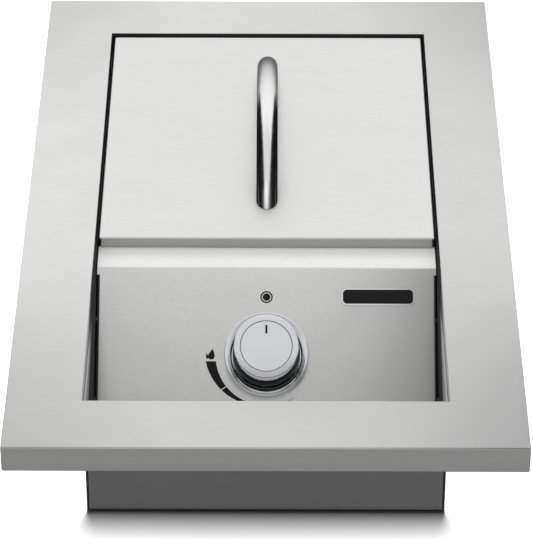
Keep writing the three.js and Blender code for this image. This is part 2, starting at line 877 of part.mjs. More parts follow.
// Heat shield between the controls and the burner
const wireFloorZ = floorTop + fitGap + wireRadius;
const shieldOutline = sheetOutline([
  [shieldFront - shieldFoot, floorTop + fitGap],
  [shieldBack, floorTop + fitGap],
  [shieldBack, seatTop - panelSheet - 2 * fitGap],
], [panelBend], -shieldSheet);
const shieldHalf = boxInnerX - shieldSideGap;
const shieldShape = polygon(shieldOutline.map((point) => point.toArray()));
const shieldBlank = prism(shieldShape, -shieldHalf, shieldHalf, "x");
const shieldThrough = [shieldFront - shieldFoot - cutOverrun, shieldBack + cutOverrun];
const shieldNotch = block(
  [shieldWireX - shieldWireNotch, shieldWireX + shieldWireNotch],
  shieldThrough,
  [0, wireFloorZ + shieldWireNotch],
);
add("heat_shield", cutAway(shieldBlank,
  rod(venturiRadius + 2 * fitGap, ...shieldThrough, "y", [0, venturiZ], tubeSides),
  rod(supplyRadius + 2 * fitGap, ...shieldThrough, "y", [supplyX, supplyZ]),
  shieldNotch, ...shieldRivetDrills()), "zinc");
shieldRivetXs.forEach((x, i) => {
  add(`shield_rivet_${i + 1}`, rivet(shieldFront, ledgeBack, "y", [x, shieldRivetZ]), "zinc");
});

// Bezel ring round the knob
const bezelLow = fitGap;
const bezelFloorTop = bezelLow + bezelFloor;
const bezelBlank = revolveRing([
  [bezelHole, bezelLow],
  [bezelRadius, bezelLow],
  [bezelRadius, bezelHeight - bezelEdge],
  [bezelRadius - bezelEdge * bezelEdgeShare, bezelHeight - bezelEdge * bezelEdgeShare],
  [bezelRadius - bezelEdge, bezelHeight],
  [bezelInner + bezelEdge, bezelHeight],
  [bezelInner + bezelEdge * bezelEdgeShare, bezelHeight - bezelEdge * bezelEdgeShare],
  [bezelInner, bezelHeight - bezelEdge],
  [bezelInner, bezelFloorTop],
  [bezelHole, bezelFloorTop],
], bezelSides);
const bezelBores = bezelScrewAngles.map((angle) => rod(bezelScrewHole, bezelLow - cutOverrun,
  bezelLow + bezelScrewDepth + fitGap, "z", bezelScrewPlace(angle), smallSides));
add("knob_bezel", cutAway(bezelBlank, ...bezelBores), "chrome", controlGroup);
bezelScrewAngles.forEach((angle, i) => {
  add(`bezel_screw_${i + 1}`, screw(bezelScrewHead, bezelScrewHeadHeight, bezelScrewRadius, -panelSheet,
    bezelLow + bezelScrewDepth, "z", bezelScrewPlace(angle)), "zinc", controlGroup);
});

// A shaft section with one flat
function flatted(radius, flat) {
  const points = [];
  const start = Math.asin(flat / radius);
  const sweep = 2 * quarterTurn + 2 * start;
  for (let i = 0; i <= holeSides; i += 1) {
    const angle = start - (i / holeSides) * sweep;
    points.push([radius * Math.cos(angle), radius * Math.sin(angle)]);
  }
  return polygon(points);
}

// Knob body: skirt flange, waist, bead, groove and a rounded rim round the face recess
const knobLow = bezelFloorTop + knobTravel + knobRunGap;
const knobFlangeTop = knobLow + knobFlangeHeight;
const knobBeadTop = knobBeadLow + knobBeadHeight;
const knobRimLow = knobBeadTop + 2 * knobGroove;
const knobRecess = knobTopHeight - knobFaceThickness - fitGap;
const knobRimInner = knobFaceRadius + fitGap;
const knobInside = knobWaistRadius - knobWall;
const rimRise = knobTopHeight - knobRimLow;
const rimReach = knobRimRadius - knobRimInner;
const rimCurveShares = [0, 0.33, 0.66, 1];
const rimCurve = rimCurveShares.map((share) => [
  knobRimInner + rimReach * Math.cos((1 - share) * quarterTurn),
  knobRimLow + rimRise * Math.sin((1 - share) * quarterTurn),
]);
const knobShell = revolve([
  [0, knobRecess],
  [knobRimInner, knobRecess],
  ...rimCurve,
  [knobRimRadius - knobGroove, knobRimLow - knobGroove / 2],
  [knobRimRadius - knobGroove, knobBeadTop + knobGroove / 2],
  [knobBeadRadius, knobBeadTop - knobGroove / 2],
  [knobBeadRadius, knobBeadLow + knobGroove],
  [knobWaistRadius, knobBeadLow - knobGroove],
  [knobWaistRadius, knobFlangeTop + knobGroove],
  [knobFlangeRadius - knobGroove, knobFlangeTop],
  [knobFlangeRadius, knobFlangeTop - knobGroove],
  [knobFlangeRadius, knobLow],
  [knobInside, knobLow],
  [knobInside, knobRecess - knobDeck],
  [knobHubRadius, knobRecess - knobDeck],
  [knobHubRadius, knobLow + fitGap],
  [0, knobLow + fitGap],
], knobSides);
const stemBore = prism(flatted(stemRadius + fitGap, stemFlat + fitGap), knobLow - cutOverrun,
  stemInKnob + fitGap, "z");
add("knob_body", cutAway(knobShell, stemBore), "chrome", controlGroup);
add("knob_face", revolve([
  [0, knobRecess + fitGap],
  [knobFaceRadius, knobRecess + fitGap],
  [knobFaceRadius, knobTopHeight - fitGap],
  [knobFaceRadius - fitGap, knobTopHeight],
  [0, knobTopHeight],
], knobSides), "satinCap", controlGroup);

// Valve stem with its flat, collar and tip
const bonnetTop = -(panelSheet + fitGap);
const bonnetBottom = bonnetTop - bonnetHeight;
const collarTop = bonnetTop - bonnetCeiling - fitGap;
add("valve_stem", fuse(
  prism(flatted(stemRadius, stemFlat), -stemTipDepth, stemInKnob, "z"),
  rod(stemCollarRadius, collarTop - stemCollarHeight, collarTop, "z", [0, 0]),
), "zinc", controlGroup);

// Return spring under the stem's tip, inside the plug
class Helix extends THREE.Curve {
  constructor(radius, low, high, turns) {
    super();
    Object.assign(this, { radius, low, high, turns });
  }

  getPoint(share, target = new THREE.Vector3()) {
    const angle = share * this.turns * fullTurn;
    const height = this.low + share * (this.high - this.low);
    return target.set(this.radius * Math.cos(angle), this.radius * Math.sin(angle), height);
  }
}

function rings(curve, radius, sides, steps) {
  const frames = curve.computeFrenetFrames(steps, false);
  return Array.from({ length: steps + 1 }, (_, i) => {
    const centre = curve.getPointAt(i / steps);
    return Array.from({ length: sides }, (_unused, side) => {
      const angle = (side / sides) * fullTurn;
      return centre.clone()
        .addScaledVector(frames.normals[i], radius * Math.cos(angle))
        .addScaledVector(frames.binormals[i], radius * Math.sin(angle));
    });
  });
}
const springCurve = new Helix(springMeanRadius, -plugSpringFloor + fitGap + springWire / 2,
  -stemTipDepth - fitGap - springWire / 2, springTurns);
const springRings = rings(springCurve, springWire / 2, springWireSides, springStepsPerTurn * springTurns);
add("valve_spring", skin(springRings, false), "zinc", controlGroup);

// Tapered plug with its stem bore, gas bore and port
const plugBlank = revolve([
  [0, -plugTail],
  [plugTailRadius, -plugTail],
  [plugTopRadius, -plugTop],
  [0, -plugTop],
], tubeSides);
const outletAim = new THREE.Matrix4().makeRotationX(-slope);

// A round bar that leaves the valve's axis level towards the back, at the port's depth
function outletBar(radius, from, to, sides = holeSides) {
  const bar = rod(radius, from, to, "y", [0, 0], sides);
  bar.applyMatrix4(outletAim);
  bar.translate(0, 0, -plugPortDepth);
  return bar;
}
add("valve_plug", cutAway(plugBlank,
  prism(flatted(stemRadius + fitGap, stemFlat + fitGap), -plugSpringFloor, -plugTop + cutOverrun, "z"),
  rod(plugGasBore, -plugTail - cutOverrun, -plugTail + plugGasBoreDepth, "z", [0, 0]),
  rod(plugPortRadius, 0, plugTopRadius + cutOverrun, "x", [0, -plugPortDepth], smallSides),
), "brass", controlGroup);

// Bonnet over the plug, clamped with the valve by two screws from the panel's face
const valveScrewPlaces = [[0, -valveScrewOffset], [0, valveScrewOffset]];
const bonnetThrough = [bonnetBottom - cutOverrun, bonnetTop + cutOverrun];
const bonnetBlank = rod(bonnetRadius, bonnetBottom, bonnetTop, "z", [0, 0], tubeSides);
add("valve_bonnet", cutAway(bonnetBlank,
  rod(stemRadius + fitGap, ...bonnetThrough, "z", [0, 0]),
  rod(stemCollarRadius + fitGap, bonnetBottom - cutOverrun, bonnetTop - bonnetCeiling, "z", [0, 0]),
  ...valveScrewPlaces.map((place) => rod(valveScrewHole, ...bonnetThrough, "z", place, smallSides)),
), "zinc", controlGroup);
valveScrewPlaces.forEach((place, i) => {
  add(`valve_screw_${i + 1}`, screw(valveScrewHead, valveScrewHeadHeight, valveScrewRadius, 0,
    -valveScrewDepth, "z", place), "zinc", controlGroup);
});

// Valve body with a tapered bore, inlet boss, level outlet boss and igniter pad
const bodyTop = bonnetBottom - fitGap;
const chamberFloor = -(plugTail + fitGap + inletChamber);
const bodyTail = chamberFloor - valveTailWall;
const bodyBarrel = revolve([
  [0, bodyTail],
  [valveTailRadius, bodyTail],
  [valveBarrelRadius, bodyTop - valveFlange],
  [bonnetRadius, bodyTop - valveFlange],
  [bonnetRadius, bodyTop],
  [0, bodyTop],
], tubeSides);
const bodyBore = revolve([
  [0, chamberFloor],
  [plugTailRadius + fitGap, chamberFloor],
  [plugTailRadius + fitGap, -plugTail],
  [plugTopRadius + fitGap, -plugTop],
  [plugTopRadius + fitGap, bodyTop + cutOverrun],
  [0, bodyTop + cutOverrun],
], tubeSides);
const piezoPad = block(
  [-piezoPadReach, -plugTailRadius - cutOverrun],
  [-piezoPadWidth / 2, piezoPadWidth / 2],
  [-piezoDepth - piezoPadLength - valveFlange, -piezoDepth - valveFlange],
);
add("valve_body", cutAway(
  fuse(bodyBarrel, piezoPad,
    outletBar(valveBossRadius, 0, outletReach),
    rod(valveBossRadius, 0, inletReach, "x", [0, -chamberDepth])),
  bodyBore,
  outletBar(gasBoreRadius, 0, outletReach + cutOverrun),
  rod(gasBoreRadius, 0, inletReach + cutOverrun, "x", [0, -chamberDepth]),
  ...valveScrewPlaces.map((place) => rod(valveScrewHole, -valveScrewDepth - fitGap,
    bodyTop + cutOverrun, "z", place, smallSides)),
), "brass", controlGroup);

// Igniter module beside the valve
const piezoRight = -(piezoPadReach + fitGap);
const piezoLeft = piezoRight - piezoWidth;
const piezoMiddle = (piezoLeft + piezoRight) / 2;
const piezoTail = -(piezoDepth + piezoLength);
const piezoCase = prism(polygon([
  [piezoLeft + piezoEdge, -piezoHeight / 2],
  [piezoRight, -piezoHeight / 2],
  [piezoRight, piezoHeight / 2],
  [piezoLeft + piezoEdge, piezoHeight / 2],
  [piezoLeft, piezoHeight / 2 - piezoEdge],
  [piezoLeft, -piezoHeight / 2 + piezoEdge],
]), piezoTail, -piezoDepth, "z");
add("piezo_igniter", fuse(piezoCase,
  rod(nippleRadius, piezoTail - nippleLength, piezoTail + piezoEdge, "z", [piezoMiddle, 0]),
), "blackPlastic", controlGroup);

// Orifice in the valve's outlet
const outletEnd = plugPortY + outletReach;
const hexStart = outletEnd + fitGap;
const hexEnd = hexStart + orificeHexLength;
const nozzleEnd = hexEnd + orificeNozzleLength;
const jetAxis = [0, venturiZ];
add("gas_orifice", cutAway(
  fuse(prism(hexagon(orificeAcrossFlats, jetAxis), hexStart, hexEnd, "y"),
    rod(orificeNozzleRadius, hexEnd - orificeHexLength / 2, nozzleEnd, "y", jetAxis)),
  rod(gasBoreRadius, hexStart - cutOverrun, nozzleEnd - orificeNozzleRadius / 2, "y", jetAxis, smallSides),
  rod(orificeJetRadius, hexEnd, nozzleEnd + cutOverrun, "y", jetAxis, smallSides),
), "brass");

// Venturi tube: hood with air windows, cone and straight tube into the burner's socket
const hoodFront = hexEnd + mixerHoodGap;
const mixerBack = hoodFront + mixerLength;
const tubeEnd = burnerY - socketReach + socketDepth;

// Revolves [radius, place] points about the venturi's own level axis
function revolveLevel(profile, sides) {
  const geometry = revolveRing(profile, sides);
  geometry.rotateX(-quarterTurn);
  geometry.translate(0, 0, venturiZ);
  return solid(geometry);
}
const venturiBlank = revolveLevel([
  [orificeNozzleRadius + fitGap, hoodFront],
  [mixerRadius, hoodFront],
  [mixerRadius, mixerBack],
  [venturiRadius, mixerBack + mixerCone],
  [venturiRadius, tubeEnd],
  [venturiRadius - venturiSheet, tubeEnd],
  [venturiRadius - venturiSheet, mixerBack + mixerCone],
  [mixerRadius - venturiSheet, mixerBack],
  [mixerRadius - venturiSheet, hoodFront + venturiSheet],
  [orificeNozzleRadius + fitGap, hoodFront + venturiSheet],
], tubeSides);
const windowMiddle = hoodFront + windowFromHood + windowLength / 2;
const windowTool = prism(slotShape(windowLength, windowHeight, [windowMiddle, venturiZ]),
  -mixerRadius - cutOverrun, mixerRadius + cutOverrun, "x");
add("venturi_tube", cutAway(venturiBlank, windowTool), "aluminium");

// Air shutter sleeve, turned part of the way over the windows
const shutterInner = mixerRadius + fitGap;
const shutterOuter = shutterInner + shutterSheet;
const shutterFront = windowMiddle - windowLength / 2 - shutterMargin;
const shutterBack = windowMiddle + windowLength / 2 + shutterMargin;
const shutterBlank = revolveLevel([
  [shutterInner, shutterFront],
  [shutterOuter, shutterFront],
  [shutterOuter, shutterBack],
  [shutterInner, shutterBack],
], tubeSides);
const shutterWindow = prism(slotShape(windowLength, windowHeight, [windowMiddle, venturiZ]),
  -shutterOuter - cutOverrun, shutterOuter + cutOverrun, "x");
const shutterThumb = block([-shutterTab / 2, shutterTab / 2],
  [shutterBack - shutterSheet - fitGap, shutterBack - fitGap],
  [venturiZ + shutterInner + shutterSheet / 2, venturiZ + shutterOuter + shutterTab]);
const shutter = fuse(cutAway(shutterBlank, shutterWindow), shutterThumb);
shutter.translate(0, 0, -venturiZ);
shutter.rotateY(shutterRestDegrees * degree);
shutter.translate(0, 0, venturiZ);
add("air_shutter", shutter, "zinc");

// Burner: bowl, flange with ears, crown of gas ports and venturi socket
const bowlInner = bowlRadius - burnerWall;
const bowlWaistZ = bowlBottom + (bowlShoulder - bowlBottom) * bowlWaistHeightShare;
const bowlWaistRadius = bowlFootRadius + (bowlRadius - bowlFootRadius) * bowlWaistReachShare;
const flangeTop = bowlShoulder + burnerFlange;
const burnerBlank = revolve([
  [0, bowlBottom],
  [bowlFootRadius, bowlBottom],
  [bowlWaistRadius, bowlWaistZ],
  [bowlRadius, bowlShoulder],
  [burnerFlangeRadius, bowlShoulder],
  [burnerFlangeRadius, flangeTop],
  [bowlRadius, flangeTop],
  [headRadius, headTop],
  [headRadius - burnerWall, headTop],
  [bowlInner, flangeTop],
  [bowlWaistRadius - burnerWall, bowlWaistZ],
  [bowlFootRadius - burnerWall / 2, bowlBottom + burnerWall],
  [0, bowlBottom + burnerWall],
], burnerSides);
burnerBlank.translate(0, burnerY, 0);

function burnerEar(side) {
  const reach = earReach - earWidth / 2;
  const shape = slotShape(2 * reach + earWidth, earWidth, [0, burnerY]);
  const ear = prism(shape, bowlShoulder, flangeTop, "z");
  const keep = [side * (bowlInner + burnerWall / 2), side * (earReach + cutOverrun)].sort((a, b) => a - b);
  const window = block(keep, [burnerY - earWidth, burnerY + earWidth], [0, trimTop]);
  return geometryOf(manifoldOf(ear).intersect(manifoldOf(window)));
}

function gasPorts() {
  const cuts = [];
  for (let i = 0; i < portCount / 2; i += 1) {
    const cut = block([-headRadius - cutOverrun, headRadius + cutOverrun], [-portWidth / 2, portWidth / 2],
      [headTop - portDepth, headTop + cutOverrun]);
    cut.rotateZ(((i + 0.5) / portCount) * fullTurn);
    cut.translate(0, burnerY, 0);
    cuts.push(cut);
  }
  return cuts;
}
const socketOuter = venturiRadius + fitGap + socketWall;
const socketFront = burnerY - socketReach;
const earScrewX = earReach - earScrewInset;
const burnerCore = revolve([
  [0, bowlBottom + burnerWall],
  [bowlFootRadius - burnerWall / 2, bowlBottom + burnerWall],
  [bowlWaistRadius - burnerWall, bowlWaistZ],
  [bowlInner, flangeTop],
  [headRadius - burnerWall, headTop],
  [0, headTop],
], burnerSides);
burnerCore.translate(0, burnerY, 0);
add("burner_base", cutAway(
  fuse(burnerBlank, burnerEar(-1), burnerEar(1),
    rod(socketOuter, socketFront, burnerY - bowlFootRadius, "y", [0, venturiZ], tubeSides)),
  burnerCore,
  rod(venturiRadius + fitGap, socketFront - cutOverrun, burnerY, "y", [0, venturiZ], tubeSides),
  rod(bracketScrewRadius + fitGap, 0, trimTop, "z", [-earScrewX, burnerY], smallSides),
  rod(bracketScrewRadius + fitGap, 0, trimTop, "z", [earScrewX, burnerY], smallSides),
  ...gasPorts(),
), "aluminium");

// Burner cap that rests on the crown
const capLow = headTop + fitGap;
const spigotRadius = headRadius - burnerWall - capSpigotGap;
const cap = revolve([
  [0, capLow],
  [spigotRadius - burnerWall, capLow],
  [spigotRadius - burnerWall, capLow - capSpigot],
  [spigotRadius, capLow - capSpigot],
  [spigotRadius, capLow],
  [capRadius - capEdge * capBevelShare, capLow],
  [capRadius, capLow + capEdge * capBevelShare],
  [capRadius - capEdge * capBevelShare, capLow + capEdge],
  [capRadius * capCrownShare, capLow + capEdge + capCrown * capCrownShare],
  [0, capLow + capEdge + capCrown],
], burnerSides);
cap.translate(0, burnerY, 0);
add("burner_cap", cap, "castIron");

// Bracket under the burner's ears
const bracketTop = bowlShoulder - fitGap;
const bracketLegX = earReach + bracketOutset;
const bracketOutline = sheetOutline([
  [bracketLegX - bracketTab, bracketTop],
  [bracketLegX, bracketTop],
  [bracketLegX, floorTop + fitGap],
  [0, floorTop + fitGap],
], [bracketBend, bracketBend], bracketSheet);

function bracketHalf(side) {
  const shape = polygon(bracketOutline.map((point) => [side * point.x, point.y]));
  return prism(shape, burnerY - bracketWidth / 2, burnerY + bracketWidth / 2, "y");
}
const bracketJoin = block([-bracketLegX / 2, bracketLegX / 2],
  [burnerY - bracketWidth / 2, burnerY + bracketWidth / 2],
  [floorTop + fitGap, floorTop + fitGap + bracketSheet]);
add("burner_bracket", cutAway(fuse(bracketHalf(-1), bracketHalf(1), bracketJoin),
  rod(bracketScrewRadius + fitGap, bowlBottom, trimTop, "z", [-earScrewX, burnerY], smallSides),
  rod(bracketScrewRadius + fitGap, bowlBottom, trimTop, "z", [earScrewX, burnerY], smallSides),
), "zinc");
[-1, 1].forEach((side, i) => {
  add(`burner_screw_${i + 1}`, screw(bracketScrewHead, bracketScrewHeadHeight, bracketScrewRadius, flangeTop,
    flangeTop - bracketScrewLength, "z", [side * earScrewX, burnerY]), "zinc");
});

// Igniter electrode: a tab under the burner's flange, a collared ceramic and a bent rod
const electrodeAngle = electrodeDegrees * degree;
const electrodeTop = bowlShoulder - fitGap;
const collarLow = electrodeTop + fitGap;

// Turns something made along +X from the burner's axis to the electrode's side
function towardsElectrode(geometry) {
  geometry.rotateZ(electrodeAngle);
  geometry.translate(0, burnerY, 0);
  return geometry;
}
const tabInner = burnerFlangeRadius - electrodeTabOverlap;
const tabOuter = electrodeCircle + electrodeTabWidth / 2;
const tabMiddle = (tabInner + tabOuter) / 2;
add("electrode_bracket", towardsElectrode(cutAway(
  prism(slotShape(tabOuter - tabInner, electrodeTabWidth, [tabMiddle, 0]), electrodeTop - electrodeTabSheet,
    electrodeTop, "z"),
  rod(ceramicRadius + fitGap, bowlBottom, trimTop, "z", [electrodeCircle, 0]),
)), "zinc");
const ceramic = revolve([
  [0, ceramicLow],
  [ceramicRadius, ceramicLow],
  [ceramicRadius, collarLow],
  [ceramicCollarRadius, collarLow],
  [ceramicCollarRadius, collarLow + ceramicCollarHeight],
  [ceramicRadius, collarLow + ceramicCollarHeight],
  [ceramicRadius, ceramicHigh - ceramicRadius / 4],
  [ceramicRadius * screwCrownShare, ceramicHigh],
  [0, ceramicHigh],
], holeSides);
ceramic.translate(electrodeCircle, 0, 0);
add("electrode_ceramic", towardsElectrode(ceramic), "ceramic");
const rodLow = ceramicHigh + fitGap;
const rodCorner = new THREE.Vector3(electrodeCircle, 0, rodLow + electrodeRodRise);
const rodTip = new THREE.Vector3(headRadius + sparkGap, 0, rodCorner.z);
const rodCurve = new THREE.QuadraticBezierCurve3(
  new THREE.Vector3(electrodeCircle, 0, rodLow), rodCorner, rodTip);
const electrodeWire = rodAlong(rodCurve, electrodeRodRadius, electrodeSides, electrodeSteps);
add("electrode_rod", towardsElectrode(electrodeWire), "zinc");

// Ignition wire from the igniter's nipple, along the floor and through the shield's notch
const wireStart = onPanel(piezoMiddle, 0, piezoTail - nippleLength - fitGap);
const wireLeave = onPanel(piezoMiddle, 0, piezoTail - nippleLength - 3 * fitGap - wireRadius);
const electrodeX = electrodeCircle * Math.cos(electrodeAngle);
const electrodeY = burnerY + electrodeCircle * Math.sin(electrodeAngle);
const wireRise = new THREE.Vector3(electrodeX, electrodeY, ceramicLow - 2 * ceramicRadius - 3 * wireRadius);
const wireNotchFront = new THREE.Vector3(shieldWireX, shieldFront - shieldFoot, wireFloorZ);
const wireNotchBack = new THREE.Vector3(shieldWireX, shieldBack + wireRadius, wireFloorZ);
const wireApproachShares = [[0.2, 0.22, 0.87], [0.43, 0.47, 1], [0.73, 0.8, 1]];
const wireReturnShares = [
  [-0.07, 0.27, 0],
  [-0.22, 0.51, 0],
  [-0.15, 0.73, 0.01],
  [0.29, 0.89, 0.17],
  [0.8, 0.98, 0.52],
];

// Places part of the way from one point to another, with a share for each axis
function between(from, to, shares) {
  const way = to.clone().sub(from);
  return shares.map((share) => new THREE.Vector3(...share).multiply(way).add(from));
}
const wirePoints = [
  wireStart,
  wireLeave,
  ...between(wireLeave, wireNotchFront, wireApproachShares),
  wireNotchFront.clone().add(wireNotchBack).divideScalar(2),
  wireNotchBack,
  ...between(wireNotchBack, wireRise, wireReturnShares),
  wireRise,
  new THREE.Vector3(electrodeX, electrodeY, ceramicLow - fitGap),
];
const wireCurve = new THREE.CatmullRomCurve3(wirePoints, false, "centripetal");
add("ignition_wire", rodAlong(wireCurve, wireRadius, wireSides, wireSteps), "silicone");

// Gas supply: a tube from the valve's inlet round to the rear wall, with a nut at each end
const supplyEndY = boxInnerY - fitGap - inletHexLength - fitGap;
const supplyY = supplyStart.y;
const tubeStartX = inletReach + fitGap;
const supplyCurve = new THREE.CurvePath();
const bendStart = new THREE.Vector3(supplyX - supplyBend, supplyY, supplyZ);
const bendEnd = new THREE.Vector3(supplyX, supplyY + supplyBend, supplyZ);
supplyCurve.add(new THREE.LineCurve3(new THREE.Vector3(tubeStartX, supplyY, supplyZ), bendStart));
supplyCurve.add(new THREE.QuadraticBezierCurve3(bendStart,
  new THREE.Vector3(supplyX, supplyY, supplyZ), bendEnd));
supplyCurve.add(new THREE.LineCurve3(bendEnd, new THREE.Vector3(supplyX, supplyEndY, supplyZ)));
add("supply_tube", rodAlong(supplyCurve, supplyRadius, smallSides, supplySteps), "aluminium");
const nutBore = supplyRadius + fitGap;
add("valve_nut", cutAway(
  prism(hexagon(nutAcrossFlats, [supplyY, supplyZ]), tubeStartX, tubeStartX + nutLength, "x"),
  rod(nutBore, tubeStartX - cutOverrun, tubeStartX + nutLength + cutOverrun, "x", [supplyY, supplyZ]),
), "brass");
add("inlet_nut", cutAway(
  prism(hexagon(nutAcrossFlats, [supplyX, supplyZ]), supplyEndY - nutLength, supplyEndY, "y"),
  rod(nutBore, supplyEndY - nutLength - cutOverrun, supplyEndY + cutOverrun, "y", [supplyX, supplyZ]),
), "brass");

// Inlet fitting through the rear wall, with its locknut outside
const fittingHexBack = boxInnerY - fitGap;
const fittingEnd = boxHalfY + inletOutside;
add("gas_inlet_fitting", cutAway(
  fuse(
    prism(hexagon(inletHexAcrossFlats, [supplyX, supplyZ]), fittingHexBack - inletHexLength,
      fittingHexBack, "y"),
    rod(inletShankRadius, fittingHexBack - inletHexLength / 2, fittingEnd, "y", [supplyX, supplyZ])),
  rod(inletBore, supplyEndY, fittingEnd + cutOverrun, "y", [supplyX, supplyZ]),
), "brass");
const locknutFront = boxHalfY + fitGap;
add("inlet_locknut", cutAway(
  prism(hexagon(locknutAcrossFlats, [supplyX, supplyZ]), locknutFront, locknutFront + locknutThickness, "y"),
  rod(inletHole, locknutFront - cutOverrun, locknutFront + locknutThickness + cutOverrun, "y",
    [supplyX, supplyZ]),
), "brass");

// Drip pan: a drawn tray whose rim rests on the rails and the ledge, with a collared burner hole
const panRimHalfX = lidHalfX - lidSheet - panSkirtGap;
const panRimHalfY = lidLength / 2 - lidSheet - panSkirtGap;
const panHalfX = panRimHalfX - panRimWidth;
const panHalfY = panRimHalfY - panRimWidth;
const panOutline = sheetOutline([
  [-panDraft - trayCapInset, panFloor - panSheet],
  [-panDraft, panFloor - panSheet],
  [0, panRimTop - panSheet],
  [panRimWidth, panRimTop - panSheet],
], [panBend, panBend / 2], -panSheet);
const panBlank = carryRound(panOutline, panHalfX, panHalfY, panCorner, false);
panBlank.translate(0, burnerY, 0);
const panHole = bowlRadius + panHoleGap;
const panThrough = [panFloor - panSheet - cutOverrun, panFloor + cutOverrun];
const panCollarRing = revolveRing([
  [panHole, panFloor - panSheet],
  [panHole + panSheet, panFloor - panSheet],
  [panHole + panSheet, panFloor + panCollar],
  [panHole, panFloor + panCollar],
], burnerSides);
panCollarRing.translate(0, burnerY, 0);
const electrodeHoleTool = towardsElectrode(
  rod(panElectrodeHole, ...panThrough, "z", [electrodeCircle, 0]));
const panTool = rod(panHole + panSheet / 2, ...panThrough, "z", [0, burnerY], burnerSides);
add("drip_pan", cutAway(fuse(cutAway(panBlank, panTool), panCollarRing), electrodeHoleTool), "enamel");

// Cooking grate: a tapered frame, four fingers towards the middle and four feet
const grateLow = grateTop - grateHeight;
const grateHalfX = panHalfX - grateInsetX;
const grateHalfY = panHalfY - grateInsetY;
const grateFrame = carryRound(pointsOf([
  [-grateBarFoot / 2, grateLow],
  [grateBarFoot / 2, grateLow],
  [grateBarCrest / 2, grateTop],
  [-grateBarCrest / 2, grateTop],
]), grateHalfX, grateHalfY, grateCorner, true);

function grateFinger(reach, angle) {
  const side = prism(polygon([
    [grateOpening / 2 + grateNose, grateLow],
    [reach, grateLow],
    [reach, grateTop],
    [grateOpening / 2, grateTop],
    [grateOpening / 2, grateTop - grateNose],
  ]), -grateBarFoot / 2, grateBarFoot / 2, "y");
  const section = prism(polygon([
    [-grateBarFoot / 2, grateLow],
    [grateBarFoot / 2, grateLow],
    [grateBarCrest / 2, grateTop],
    [-grateBarCrest / 2, grateTop],
  ]), 0, reach, "x");
  const finger = geometryOf(manifoldOf(side).intersect(manifoldOf(section)));
  finger.rotateZ(angle);
  return finger;
}

function grateFoot(sideX, sideY) {
  const foot = revolve([
    [0, panFloor + fitGap],
    [grateFootTip, panFloor + fitGap],
    [grateFootRadius, grateLow + grateHeight / 2],
    [0, grateLow + grateHeight / 2],
  ], smallSides);
  foot.translate(sideX * (grateHalfX - grateFootInset / 2), sideY * (grateHalfY - grateFootInset / 2), 0);
  return foot;
}
const grate = fuse(grateFrame,
  grateFinger(grateHalfX, 0), grateFinger(grateHalfY, quarterTurn),
  grateFinger(grateHalfX, 2 * quarterTurn), grateFinger(grateHalfY, 3 * quarterTurn),
  grateFoot(1, 1), grateFoot(-1, 1), grateFoot(-1, -1), grateFoot(1, -1));
grate.translate(0, burnerY, 0);
add("cooking_grate", grate, "castIron");

// Lid
const lidOutline = sheetOutline([
  [-trayCapInset, lidTop],
  [0, lidTop],
  [0, lidBottom],
], [lidBend], lidSheet);
const lidBlank = carryRound(lidOutline, lidHalfX, lidLength / 2, lidCorner, false);
lidBlank.translate(0, lidMiddle, 0);
const handleScrewYs = [lidMiddle - handleChord / 2, lidMiddle + handleChord / 2];
const lidHoles = handleScrewYs.map((y) => rod(handleScrewRadius + fitGap, lidUnderside - cutOverrun,
  lidTop + cutOverrun, "z", [0, y], smallSides));
add("lid_panel", cutAway(lidBlank, ...lidHoles), "satinSteel");

// Bow handle: a round rod bent to one arc and cut flat on the lid
class Arc extends THREE.Curve {
  constructor(centre, radius, reach) {
    super();
    Object.assign(this, { centre, radius, reach });
  }

  getPoint(share, target = new THREE.Vector3()) {
    const angle = (2 * share - 1) * this.reach;
    return target.set(0, this.radius * Math.sin(angle), this.radius * Math.cos(angle)).add(this.centre);
  }
}
const handleRadius = handleDiameter / 2;
const handleSeat = lidTop + fitGap;
const arcRadius = ((handleChord / 2) ** 2 + handleRise ** 2) / (2 * handleRise);
const arcCentre = new THREE.Vector3(0, lidMiddle, lidTop + handleRise - arcRadius);
const arcReach = Math.asin(handleChord / 2 / arcRadius) + handleDiameter / arcRadius;
const bow = rodAlong(new Arc(arcCentre, arcRadius, arcReach), handleRadius, handleSides, handleSteps);
const belowLid = block([-handleDiameter, handleDiameter],
  [lidMiddle - handleChord, lidMiddle + handleChord],
  [lidTop - handleChord, handleSeat]);
const handleBores = handleScrewYs.map((y) => rod(handleScrewRadius + fitGap, lidTop,
  lidTop + handleScrewDepth + fitGap, "z", [0, y], smallSides));
add("lid_handle", cutAway(bow, belowLid, ...handleBores), "polishedSteel");
handleScrewYs.forEach((y, i) => {
  add(`handle_screw_${i + 1}`, screw(handleScrewHead, handleScrewHeadHeight, handleScrewRadius, lidUnderside,
    lidTop + handleScrewDepth, "z", [0, y]), "zinc");
});

// Bumpers bonded into the lid's corners, resting on the rim of the pan
const bumperX = panRimHalfX - panRimWidth / 2;
const bumperY = panRimHalfY - panRimWidth / 2;
const bumperPlaces = [[-bumperX, -bumperY], [bumperX, -bumperY], [bumperX, bumperY], [-bumperX, bumperY]];
bumperPlaces.forEach(([x, y], i) => {
  const bumper = revolve([
    [0, panRimTop + fitGap],
    [bumperRadius * screwCrownShare, panRimTop + fitGap],
    [bumperRadius, panRimTop + bumperRadius / 2],
    [bumperRadius, lidUnderside - fitGap],
    [0, lidUnderside - fitGap],
  ], smallSides);
  bumper.translate(x, lidMiddle + y, 0);
  add(`lid_bumper_${i + 1}`, bumper, "silicone");
});

export default assembly;
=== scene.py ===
# %% [markdown]
# # A built-in side burner, dressed for its photograph
#
# The metalwork of this side burner already exists as solids at their real size: a folded trim frame, a
# housing, a sloping control panel with one knob, and a lid with a bow handle over a gas burner. This lesson
# gives them their looks. The solids stay fixed, and what Blender adds is placed by asking them where they
# are.

